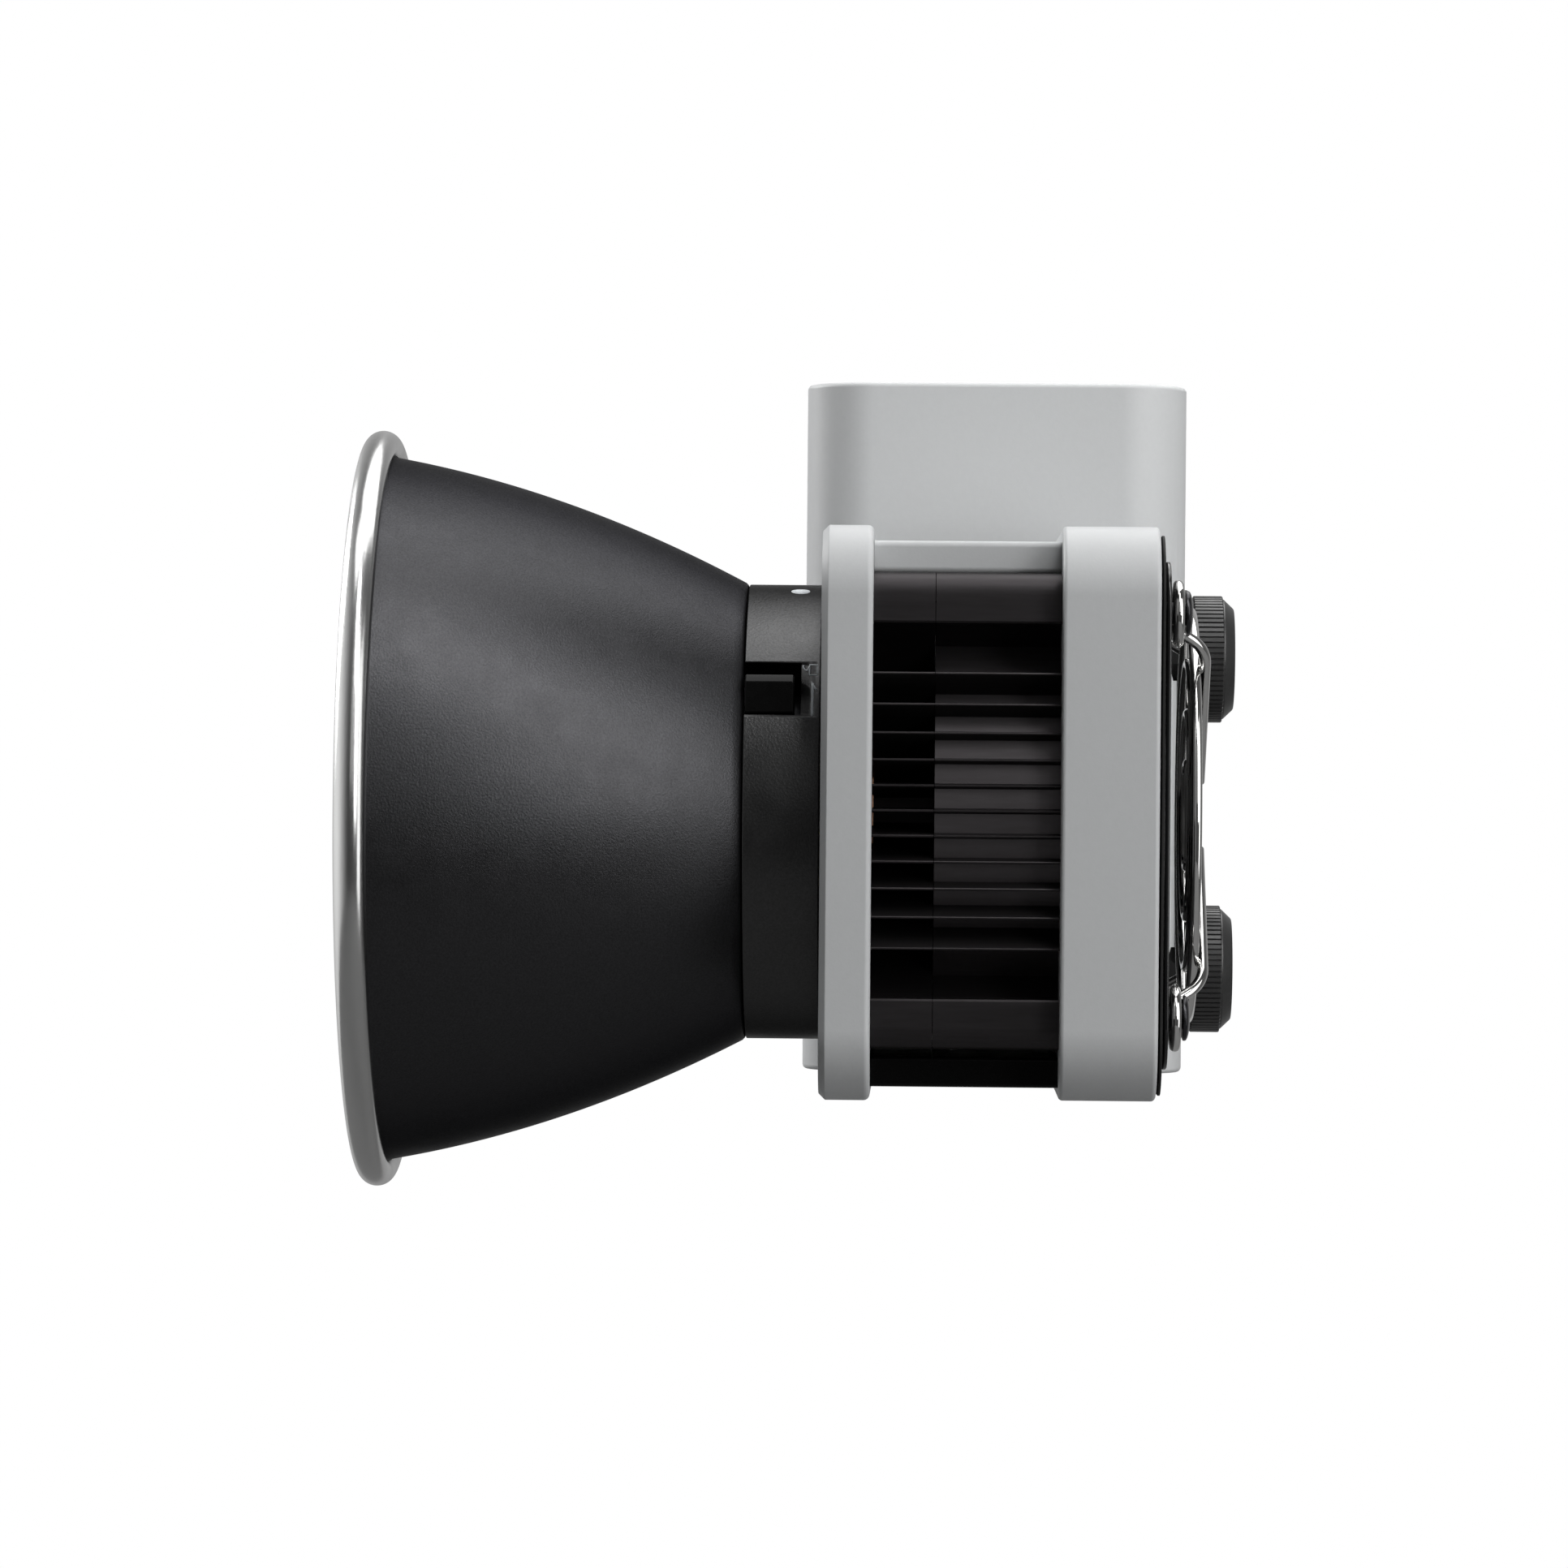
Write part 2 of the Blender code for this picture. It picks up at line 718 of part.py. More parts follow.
def build_window(glass, black):
    """Round glass in front of the light source, and the ring that holds it."""
    front, back = WINDOW_Y
    radius = WINDOW_RADIUS
    finish(on_axis(rod(radius, front, back, 24)), "window_glass", glass)
    y0, y1 = WINDOW_RING_Y
    ring = [
        (radius - 2.0, y0), (WINDOW_RING_RADIUS, y0), (WINDOW_RING_RADIUS, y1),
        (radius + GAP, y1), (radius + GAP, front - GAP), (radius - 2.0, front - GAP),
    ]
    finish(on_axis(lathe(ring, 24)), "window_ring", black)


# Reflector mount

def build_mount_ring(material):
    """Bayonet ring: three claws in front, a notch for the lever and three screw holes."""
    y0, y1 = MOUNT_Y
    claw = y0 + CLAW_DEPTH
    profile = [
        (CLAW_RADIUS, y0), (MOUNT_OUTER, y0), (MOUNT_OUTER, y1),
        (MOUNT_INNER, y1), (MOUNT_INNER, claw), (CLAW_RADIUS, claw),
    ]
    ring = finish(on_axis(lathe(profile, 36)), "mount_ring", material)
    gaps = []
    for angle in CLAW_ANGLES:
        first = angle + CLAW_SPAN / 2
        last = angle + 120.0 - CLAW_SPAN / 2
        outline = sector(CLAW_RADIUS - 2, MOUNT_INNER + 0.2, first, last)
        gaps.append(on_axis(prism(outline, y0 - 1, claw + 2)))
    cut(ring, *gaps)
    notch = sector(MOUNT_INNER - 2, MOUNT_OUTER + 3, *NOTCH_ANGLES, 4)
    cut(ring, on_axis(prism(notch, y0 - 2, NOTCH_END_Y)))
    holes = []
    sinks = []
    for angle in MOUNT_SCREW_ANGLES:
        place = screw_place(angle)
        holes.append(on_axis(moved(rod(MOUNT_SCREW_HOLE, y0 - 1, y1 + 1, SMALL_SIDES), *place)))
        sinks.append(on_axis(moved(rod(1.65, y0 - 1, y0 + 2.0, SMALL_SIDES), *place)))
    cut(ring, *holes)
    cut(ring, *sinks)
    return ring


def build_lock_lever(material):
    """Thumb tab in the notch with a shoe that slides inside the mount ring."""
    low, high = LEVER_ANGLES
    tab = [
        polar(31.3, low), (32.0, 15.3), (32.05, 15.6), (31.35, 19.9),
        (31.0, 20.3), (30.0, 21.3), polar(31.3, high),
    ]
    bm = on_axis(prism(tab, MOUNT_Y[0], -26.7))
    bevel_edges(bm, edge_at(1, -26.7), 0.35, 2)
    lever = finish(bm, "lock_lever", material)
    shoe = on_axis(prism(sector(30.5, 31.65, low - 6, high + 6, 6), -28.9, -27.2))
    fuse(lever, shoe)
    return lever


def build_mount_screws(material):
    places = []
    for angle in MOUNT_SCREW_ANGLES:
        x, _, z = screw_place(angle)
        places.append((x, MOUNT_Y[0] + 2.0 - GAP, z + AXIS_Z))
    first = screw("mount_screw", (1.35, 1.5), (0.95, 12.0), material, HIDDEN_SCREW_SIDES)
    place_copies(first, places, 180.0)


# Reflector

def bowl_radius(y):
    """Outer radius of the bowl, flaring from the neck and easing towards the rim."""
    part = (NECK_Y - y) / (NECK_Y - BOWL_FRONT_Y)
    return NECK_RADIUS + BOWL_FLARE * part + BOWL_CURVE * part * part


def build_reflector_bowl(material):
    """Spun bowl with a flat back and a rolled rim, as one turned profile."""
    outer = bowl_curve(4)
    inner = [(radius - BOWL_WALL * 1.12, y) for radius, y in bowl_curve(2)]
    back = NECK_Y - BOWL_WALL
    profile = [(COLLAR_OUTER + GAP, NECK_Y), (NECK_RADIUS - 0.3, NECK_Y)]
    profile += outer + bead_points() + inner[::-1]
    profile += [(NECK_RADIUS - 1.4, back), (COLLAR_OUTER + GAP, back)]
    bowl = finish(on_axis(lathe(profile, 36)), "reflector_bowl", material)
    cut(bowl, *rivet_holes(back - 1, NECK_Y + 1))
    return bowl


def bowl_curve(steps):
    """Points of the outside, from the neck to the rim."""
    start = NECK_Y - 0.6
    levels = [start + (BOWL_FRONT_Y - start) * step / steps for step in range(steps + 1)]
    return [(bowl_radius(y), y) for y in levels]


def bead_points():
    """Rolled rim from the bowl's outside, over the front, to the bowl's inside."""
    cr, cy = BEAD_CENTRE
    half_height, half_length = BEAD_SIZE
    points = []
    for degrees in BEAD_ANGLES:
        angle = math.radians(degrees)
        points.append((cr + half_height * math.sin(angle), cy + half_length * math.cos(angle)))
    return points


def rivet_holes(y0, y1):
    return [on_axis(moved(rod(RIVET_HOLE, y0, y1, HOLE_SIDES), *rivet_place(a))) for a in RIVET_ANGLES]


def rivet_place(degrees):
    x, z = polar(RIVET_CIRCLE, degrees)
    return x, 0.0, z


def build_reflector_collar(material):
    """Flanged tube with three bayonet lugs that turn in behind the mount ring's claws."""
    front = NECK_Y - BOWL_WALL - GAP
    profile = [
        (COLLAR_INNER, front - 1.0), (COLLAR_FLANGE, front - 1.0), (COLLAR_FLANGE, front),
        (COLLAR_OUTER, front), (COLLAR_OUTER, COLLAR_END_Y), (COLLAR_INNER, COLLAR_END_Y),
    ]
    collar = finish(on_axis(lathe(profile, 28)), "reflector_collar", material)
    lugs = []
    for angle in CLAW_ANGLES:
        outline = sector(COLLAR_OUTER - 0.8, LUG_REACH, angle - LUG_SPAN / 2, angle + LUG_SPAN / 2, 3)
        lugs.append(on_axis(prism(outline, *LUG_Y)))
    fuse(collar, *lugs)
    cut(collar, *rivet_holes(front - 2, front + 0.1))
    return collar


def build_rivets(material):
    """Round head rivets that hold the collar in the bowl's back."""
    length = NECK_Y - 0.05 - RIVET_SEAT
    profile = [
        (0, -0.9), (1.5, -0.7), (2.1, 0), (1.2, 0), (1.2, length), (0, length),
    ]
    rivet = finish(lathe(profile, HIDDEN_SCREW_SIDES), "reflector_rivet", material)
    places = []
    for angle in RIVET_ANGLES:
        x, _, z = rivet_place(angle)
        places.append((x, RIVET_SEAT, z + AXIS_Z))
    place_copies(rivet, places)


# Fan and wire guard

def build_fan_housing(material):
    y0, y1 = FAN_Y
    housing = finish(on_axis(prism(square(FAN_SIZE, 3.0, 2), y0, y1)), "fan_housing", material)
    cut(housing, on_axis(prism(circle(FAN_BORE, 32), y0 - 1, y1 + 1)))
    spider = star_outline(12.5, FAN_BORE + 0.8, 3.0, 4, 20.0, 4)
    spindle = rod(SPINDLE_RADIUS, y0 + 0.9, y1 - 3.4, SMALL_SIDES)
    fuse(housing, on_axis(prism(spider, y0 + 0.1, y0 + 1.7)), on_axis(spindle))
    cut(housing, *tie_holes(y0 - 1, y1 + 1))
    return housing


def build_fan_rotor(material):
    """Hub cup with swept, pitched blades."""
    y0 = FAN_Y[0] + 2.1
    y1 = FAN_Y[1] - 0.6
    bore = SPINDLE_RADIUS + 0.4
    inner = HUB_RADIUS - 1.2
    profile = [
        (bore, y0 + 3.0), (inner, y0 + 3.0), (inner, y0), (HUB_RADIUS, y0), (HUB_RADIUS, y1 - 1.0),
        (inner, y1), (0, y1), (0, y1 - 2.0), (bore, y1 - 2.0),
    ]
    rotor = finish(on_axis(lathe(profile, 21)), "fan_rotor", material)
    blades = []
    for number in range(BLADE_COUNT):
        blades.append(on_axis(turned(blade(y0 + 0.4, y1 - 1.1), 360.0 * number / BLADE_COUNT)))
    fuse(rotor, *blades)
    set_origin(rotor, 0, (y0 + y1) / 2, AXIS_Z)
    return rotor


def blade(y0, y1):
    """One blade as a thin twisted sheet from inside the hub to near the bore."""
    bm = bmesh.new()
    rings = [blade_section(bm, y0, y1, part / 2) for part in range(3)]
    count = len(rings[0])
    for low, high in zip(rings, rings[1:]):
        for i in range(count):
            bm.faces.new((low[i], low[(i + 1) % count], high[(i + 1) % count], high[i]))
    bm.faces.new(rings[0])
    bm.faces.new(rings[-1][::-1])
    bmesh.ops.recalc_face_normals(bm, faces=bm.faces)
    return bm


def blade_section(bm, y0, y1, part):
    """Ring of vertices round the blade, part of the way from the hub to the tip."""
    root = HUB_RADIUS - 0.7
    radius = root + (BLADE_TIP - root) * part
    ring = []
    for side, order in ((1, (0.0, 0.5, 1.0)), (-1, (1.0, 0.5, 0.0))):
        for along in order:
            camber = 3.0 * math.sin(math.pi * along)
            pitch = (BLADE_PITCH - 10.0 * part) * (along - 0.5)
            half = math.degrees(BLADE_HALF_THICKNESS / radius)
            x, z = polar(radius, BLADE_SWEEP * part + pitch + camber + side * half)
            ring.append(bm.verts.new((x, y0 + (y1 - y0) * along, z)))
    return ring


def rounded_path(corners, radius, steps=2):
    """Replace each inner corner of a path by an arc."""
    points = [Vector(corners[0])]
    for before, here, after in zip(corners, corners[1:], corners[2:]):
        here = Vector(here)
        to_before = (Vector(before) - here).normalized()
        to_after = (Vector(after) - here).normalized()
        half = to_before.angle(to_after) / 2
        reach = radius / math.tan(half)
        centre = here + (to_before + to_after).normalized() * radius / math.sin(half)
        start = here + to_before * reach - centre
        end = here + to_after * reach - centre
        for step in range(steps + 1):
            points.append(centre + start.slerp(end, step / steps))
    points.append(Vector(corners[-1]))
    return points


def wire(points, radius):
    """Round wire along a path, from a curve with a bevel and filled caps."""
    curve = bpy.data.curves.new("wire", "CURVE")
    curve.dimensions = "3D"
    curve.bevel_depth = radius
    curve.bevel_resolution = 0
    curve.use_fill_caps = True
    spline = curve.splines.new("POLY")
    spline.points.add(len(points) - 1)
    for slot, point in zip(spline.points, points):
        slot.co = (*point, 1.0)
    holder = bpy.data.objects.new("wire", curve)
    bpy.context.scene.collection.objects.link(holder)
    graph = bpy.context.evaluated_depsgraph_get()
    mesh = bpy.data.meshes.new_from_object(holder.evaluated_get(graph))
    bpy.data.objects.remove(holder)
    bm = bmesh.new()
    bm.from_mesh(mesh)
    bpy.data.meshes.remove(mesh)
    return bm


def torus(ring, tube, y, steps, sides=4):
    profile = []
    for i in range(sides):
        dr, dy = polar(tube, 360.0 * (i + 0.5) / sides)
        profile.append((ring + dr, y + dy))
    return lathe(profile, steps)


def build_fan_guard(material):
    """Concentric wire rings on four cranked legs that end on eyelets."""
    rings = [on_axis(torus(radius, WIRE, GUARD_RING_Y, 8 + round(radius * 0.45))) for radius in GUARD_RINGS]
    guard = finish(rings[0], "fan_guard", material, 60.0)
    parts = rings[1:]
    for x, z in tie_points():
        parts.append(on_axis(guard_leg(*Vector((x, z)).normalized())))
        parts.append(on_axis(moved(torus(EYELET_RADIUS, WIRE, GUARD_FOOT_Y, 8), x=x, z=z)))
    fuse(guard, *parts)
    return guard


def guard_leg(ux, uz):
    """Wire from the inner ring over the outer one and down onto an eyelet."""
    eyelet = TIE_SPACING / 2 * math.sqrt(2.0)
    path = (
        (GUARD_RINGS[-1] - 0.6, GUARD_LEG_Y),
        (GUARD_KNEE, GUARD_LEG_Y),
        (eyelet - EYELET_RADIUS + 0.6, GUARD_END_Y),
    )
    corners = [(reach * ux, y, reach * uz) for reach, y in path]
    return wire(rounded_path(corners, GUARD_BEND), WIRE)


def build_tie_screws(material):
    """Long screws through the eyelets and the whole stack into the front frame."""
    seat = GUARD_FOOT_Y + WIRE + GAP
    places = [(x, seat, z + AXIS_Z) for x, z in tie_points()]
    place_copies(screw("tie_screw", TIE_HEAD, (TIE_RADIUS, seat + TIE_REACH), material), places)


# Controller block

def clip_outline(points, limit, keep_above):
    """Keep the part of an outline on one side of a line of constant X."""
    def inside(point):
        return point[0] >= limit if keep_above else point[0] <= limit

    kept = []
    for here, after in zip(points, points[1:] + points[:1]):
        if inside(here):
            kept.append(here)
        if inside(here) != inside(after):
            part = (limit - here[0]) / (after[0] - here[0])
            kept.append((limit, here[1] + (after[1] - here[1]) * part))
    return kept


def block_outline(inset=0.0, steps=5):
    x_near, x_far = BLOCK_X
    y0, y1 = BLOCK_Y
    radius = BLOCK_CORNER - inset
    return rounded_rectangle(x_far + inset, x_near - inset, y0 + inset, y1 - inset, radius, steps)


def cover_screw_points():
    return [(y, z) for y in COVER_SCREW_Y for z in COVER_SCREW_Z]


def x_rods(radius, sides, points, x0, x1):
    """Rods along X at points (y, z)."""
    return [prism(circle(radius, sides, y, z), x0, x1, "X") for y, z in points]


def block_half(name, seam, towards_lamp, material):
    """One half of the block, solid, with its top and bottom edges rounded except at the seam."""
    low, high = BLOCK_Z
    bm = prism(clip_outline(block_outline(), seam, towards_lamp), low, high, "Z")

    def rounded(edge):
        capped = edge_at(2, low)(edge) or edge_at(2, high)(edge)
        return capped and not edge_at(0, seam)(edge)

    bevel_edges(bm, rounded, BLOCK_FILLET, 1)
    return finish(bm, name, material)


def block_hollow(seam, towards_lamp):
    outline = clip_outline(block_outline(BLOCK_WALL, 3), seam, towards_lamp)
    return prism(outline, BLOCK_Z[0] + BLOCK_WALL, BLOCK_Z[1] - BLOCK_WALL, "Z")


def build_controller_case(material):
    """Half of the block towards the lamp, with the seat for the control panel."""
    case = block_half("controller_case", SPLIT_X, True, material)
    cut(case, block_hollow(SPLIT_X - 2, True))
    floor = PANEL_Y[0] - GAP
    seat = prism(panel_outline(SEAT_HALF_WIDTH, PANEL_HALF_HEIGHT - 0.6, 6.4), 33.4, floor)
    posts = x_rods(POST_RADIUS, SMALL_SIDES, cover_screw_points(), BLOCK_X[0] - 1, SPLIT_X)
    fuse(case, seat, *posts)
    cut(case, prism(panel_outline(PANEL_HALF_WIDTH + GAP, PANEL_HALF_HEIGHT + GAP, 7.3), floor, 40.0))
    wells = [dial_disc(COLLAR_BOSS + GAP, 30.0, 40.0, offset) for offset in (DIAL_OFFSET, -DIAL_OFFSET)]
    window = prism(display_outline(0.9), 30.0, 40.0)
    button = moved(rod(BUTTON_FLANGE + GAP, 30.0, 40.0, 14), x=DIAL_X, z=BUTTON_Z)
    cut(case, *wells, window, button)
    wall = BLOCK_X[0]
    cut(case, *x_rods(3.1, 10, side_points(), wall - BLOCK_WALL, wall - 5))
    threads = x_rods(1.45, HOLE_SIDES, cover_screw_points(), wall - 8, SPLIT_X - 1)
    joins = x_rods(1.75, HOLE_SIDES, side_points(), wall + 1, wall - 4)
    inlet = prism(circle(INLET_RADIUS + GAP, 16, *INLET_PLACE), BLOCK_Z[0] - 1, BLOCK_Z[0] + 4, "Z")
    cut(case, *threads, *joins, inlet)
    return case


def build_controller_cover(material):
    """Outer half of the block, which four screws hold to the case."""
    seam = SPLIT_X - GAP
    cover = block_half("controller_cover", seam, False, material)
    cut(cover, block_hollow(SPLIT_X + 1, False))
    outside = BLOCK_X[1]
    points = cover_screw_points()
    fuse(cover, *x_rods(POST_RADIUS, SMALL_SIDES, points, seam, outside + 1))
    cut(cover, *x_rods(1.75, HOLE_SIDES, points, SPLIT_X + 1, outside - 1))
    cut(cover, *x_rods(3.1, SMALL_SIDES, points, outside + COVER_SCREW_SEAT, outside - 1))
    return cover


def build_cover_screws(material):
    places = [(BLOCK_X[1] + COVER_SCREW_SEAT - GAP, y, z) for y, z in cover_screw_points()]
    place_copies(screw("cover_screw", (2.6, 1.4), (1.15, 11.0), material), places, 90.0)


def build_block_screws(material):
    """Screws from inside the block, through its wall, into the two frames."""
    places = [(BLOCK_X[0] - BLOCK_WALL - GAP, y, z) for y, z in side_points()]
    first = screw("block_screw", (2.8, 1.8), (1.3, 4.8), material, HIDDEN_SCREW_SIDES)
    place_copies(first, places, 90.0)


def panel_outline(half_width, half_height, radius):
    x0, x1 = DIAL_X - half_width, DIAL_X + half_width
    return rounded_rectangle(x0, x1, AXIS_Z - half_height, AXIS_Z + half_height, radius, 3)


def display_outline(room=0.0):
    """Outline of the display window, or of an opening with some room round it."""
    x0, x1 = DIAL_X - DISPLAY_HALF_WIDTH - room, DIAL_X + DISPLAY_HALF_WIDTH + room
    return rounded_rectangle(x0, x1, DISPLAY_Z[0] - room, DISPLAY_Z[1] + room, 0.9, 2)


def dial_disc(radius, y0, y1, offset, steps=16):
    return moved(rod(radius, y0, y1, steps), x=DIAL_X, z=AXIS_Z + offset)


def build_control_panel(material):
    y0, y1 = PANEL_Y
    offsets = (DIAL_OFFSET, -DIAL_OFFSET)
    bm = prism(panel_outline(PANEL_HALF_WIDTH, PANEL_HALF_HEIGHT, 7.0), y0, y1)
    bevel_edges(bm, edge_at(1, y1), 0.4, 1)
    panel = finish(bm, "control_panel", material)
    fuse(panel, *[dial_disc(COLLAR_BOSS, 34.0, y0 + 0.5, offset) for offset in offsets])
    bushes = [dial_disc(ENCODER_BUSH + 0.35, 30.0, 40.0, offset, 12) for offset in offsets]
    button = moved(rod(BUTTON_RADIUS + 0.35, 30.0, 40.0, 16), x=DIAL_X, z=BUTTON_Z)
    cut(panel, *bushes, prism(display_outline(GAP), 30.0, 40.0), button)
    return panel


def knurled_outline():
    """Circle of small ridges."""
    points = []
    for number in range(KNURL_COUNT):
        for part, radius in ((0.0, DIAL_RADIUS), (0.5, DIAL_RADIUS - KNURL_DEPTH)):
            points.append(polar(radius, 360.0 * (number + part) / KNURL_COUNT))
    return points


def build_dial(name, offset, material):
    """Knurled dial: ridged barrel, cone and flat face, hollow underneath."""
    y0, y1, y2 = DIAL_Y
    outline = knurled_outline()
    bm = bmesh.new()
    foot = [bm.verts.new((x, y0, z)) for x, z in outline]
    edge = [bm.verts.new((x, y1, z)) for x, z in outline]
    face = []
    for x, z in outline:
        scale = DIAL_FACE / math.hypot(x, z)
        face.append(bm.verts.new((x * scale, y2, z * scale)))
    count = len(outline)
    for lower, upper in ((foot, edge), (edge, face)):
        for i in range(count):
            bm.faces.new((lower[i], lower[(i + 1) % count], upper[(i + 1) % count], upper[i]))
    bm.faces.new(foot)
    bm.faces.new(face[::-1])
    bmesh.ops.recalc_face_normals(bm, faces=bm.faces)
    place = {"x": DIAL_X, "z": AXIS_Z + offset}
    dial = finish(moved(bm, **place), name, material, 20.0)
    cut(dial, moved(rod(SHAFT_RADIUS + 0.1, y0 - 1, y1, SHAFT_SIDES), **place))
    cut(dial, moved(rod(4.4, y0 - 1, y0 + 1.4, SHAFT_SIDES), **place))
    set_origin(dial, DIAL_X, y0, AXIS_Z + offset)
    return dial


def build_shaft(name, offset, material):
    y0, y1 = SHAFT_Y
    shaft = finish(moved(rod(SHAFT_RADIUS, y0, y1, SHAFT_SIDES), x=DIAL_X, z=AXIS_Z + offset), name, material)
    set_origin(shaft, DIAL_X, (y0 + y1) / 2, AXIS_Z + offset)
    return shaft


def build_encoders(material):
    """Rotary encoders: round body with a bush, open for the shaft."""
    bore = SHAFT_RADIUS + 0.15
    profile = [(bore, -5.0), (5.9, -5.0), (5.9, 0), (ENCODER_BUSH, 0), (ENCODER_BUSH, 5.0), (bore, 5.0)]
    encoder = finish(lathe(profile, SHAFT_SIDES), "dial_encoder", material)
    place_copies(encoder, [(DIAL_X, ENCODER_Y, AXIS_Z + offset) for offset in (DIAL_OFFSET, -DIAL_OFFSET)])


def build_control_board(material):
    outline = rounded_rectangle(DIAL_X - 8.6, DIAL_X + 8.6, AXIS_Z - 31.0, AXIS_Z + 31.0, 1.0, 1)
    return finish(prism(outline, 26.7, 26.7 + BOARD_THICKNESS), "control_board", material)


def build_display(material):
    return finish(prism(display_outline(), PANEL_Y[0] + 0.1, PANEL_Y[1] - GAP), "display_window", material)


def build_power_button(material):
    """Round push cap on a stem, with a flange that keeps it behind the panel."""
    cap = BUTTON_RADIUS
    profile = [
        (0, 33.2), (2.0, 33.2), (2.0, 34.2), (BUTTON_FLANGE, 34.2), (BUTTON_FLANGE, 35.1), (cap, 35.1),
        (cap, 37.9), (cap - 0.4, 38.3), (0, 38.3),
    ]
    button = finish(moved(lathe(profile, 12), x=DIAL_X, z=BUTTON_Z), "power_button", material)
    set_origin(button, DIAL_X, 36.0, BUTTON_Z)
    return button


def build_power_switch(material):
    """Small push switch on the control board under the button."""
    body = prism(rounded_rectangle(-3.0, 3.0, -3.0, 3.0, 0.3, 1), 28.6, 31.0)
    plunger = rod(1.5, 30.8, 32.0, 12)
    switch = finish(moved(body, x=DIAL_X, z=BUTTON_Z), "power_switch", material)
    fuse(switch, moved(plunger, x=DIAL_X, z=BUTTON_Z))
    return switch


def build_driver_board(material):
    outline = [(-20.0, 11.0), (20.0, 11.0), (20.0, 100.0), (-20.0, 100.0)]
    return finish(prism(outline, BOARD_X, BOARD_X - BOARD_THICKNESS, "X"), "driver_board", material)


def build_driver_coil(material):
    """Ring coil that lies on the driver board."""
    profile = [(4.0, 0.0), (8.6, 0.0), (9.2, 0.8), (9.2, 7.0), (8.6, 7.8), (4.0, 7.8)]
    coil = turned(lathe(profile, 12), -90.0, "Z")
    return finish(moved(coil, x=BOARD_X + GAP, y=0.0, z=30.0), "driver_coil", material)


def build_heat_spreader(material):
    """Comb of short fins that stands on the driver board."""
    tip, root, foot = BOARD_X + 8.0, BOARD_X + 2.5, BOARD_X + GAP
    start = 60.0
    outline = [(foot, start)]
    for number in range(7):
        z = start + 5.0 * number
        outline += [(tip, z), (tip, z + 1.6), (root, z + 1.6), (root, z + 5.0)]
    last = outline[-3][1]
    outline = outline[:-2] + [(foot, last)]
    return finish(prism(outline, -14.0, 14.0), "driver_heat_spreader", material)


def build_power_inlet(material):
    """Barrel socket let into the underside of the block, open downwards."""
    z0 = BLOCK_Z[0]
    shell = [
        (0, 9.6), (INLET_RADIUS, 9.6), (INLET_RADIUS, 0.0), (3.5, 0.0), (2.85, 0.7),
        (2.85, 8.0), (1.1, 8.0), (1.1, 1.0), (0.7, 0.6), (0, 0.6),
    ]
    bm = turned(lathe(shell, 12), 90.0, "X")
    return finish(moved(bm, x=INLET_PLACE[0], y=INLET_PLACE[1], z=z0), "power_inlet", material)


def main():
    clear_scene()
    mats = make_materials()
    grey, black, plastic = mats["grey_shell"], mats["black_metal"], mats["black_plastic"]
    build_front_frame(grey)
    build_rear_frame(grey)
    build_flat_plate("front_backplate", BACKPLATE_SIZE, 6.0, BACKPLATE_Y, 30.0, black)
    build_flat_plate("rear_gasket", (86.0, 86.0), 10.0, GASKET_Y, FAN_OPENING, plastic)
    build_flat_plate("fan_bezel", (78.2, 78.2), 8.0, BEZEL_Y, FAN_OPENING, plastic, 0.3)
    build_heat_sink_front(black)
    build_heat_sink_rear(black)
    build_top_plate(grey)
    build_bottom_plate(black)
    build_tripod_bush(mats["steel"])
    build_cob_base(mats["copper"])
    build_cob_substrate(mats["ceramic"])
    build_cob_emitter(mats["phosphor"])
    build_cob_holder(plastic)
    build_cob_screws(mats["steel"])
    build_window(mats["glass"], plastic)
    build_mount_ring(black)
    build_lock_lever(plastic)
    build_mount_screws(mats["steel"])
    build_reflector_bowl(mats["silver"])
    build_reflector_collar(mats["steel"])
    build_rivets(mats["steel"])
    build_fan_housing(plastic)
    build_fan_rotor(plastic)
    build_fan_guard(mats["silver"])
    build_tie_screws(mats["steel"])
    build_controller_case(grey)
    build_controller_cover(grey)
    build_cover_screws(mats["steel"])
    build_block_screws(mats["steel"])
    build_control_panel(plastic)
    build_dial("upper_dial", DIAL_OFFSET, plastic)
    build_dial("lower_dial", -DIAL_OFFSET, plastic)
    build_shaft("upper_dial_shaft", DIAL_OFFSET, mats["steel"])
    build_shaft("lower_dial_shaft", -DIAL_OFFSET, mats["steel"])
    build_encoders(mats["steel"])
    build_control_board(mats["board"])
    build_display(mats["glass"])
    build_power_button(plastic)
    build_power_switch(plastic)
    build_driver_board(mats["board"])
    build_driver_coil(plastic)
    build_heat_spreader(mats["silver"])
    build_power_inlet(plastic)


main()
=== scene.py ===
"""Looks of the compact COB studio light: finer surfaces, finishes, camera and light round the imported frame.

Lengths are millimetres unless a name says otherwise, and become metres when a mesh is made.
The optical axis runs along Y, the light leaves towards -Y, and the photograph looks along -X.
"""
import json
import math

import bmesh
import bpy
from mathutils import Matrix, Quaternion, Vector


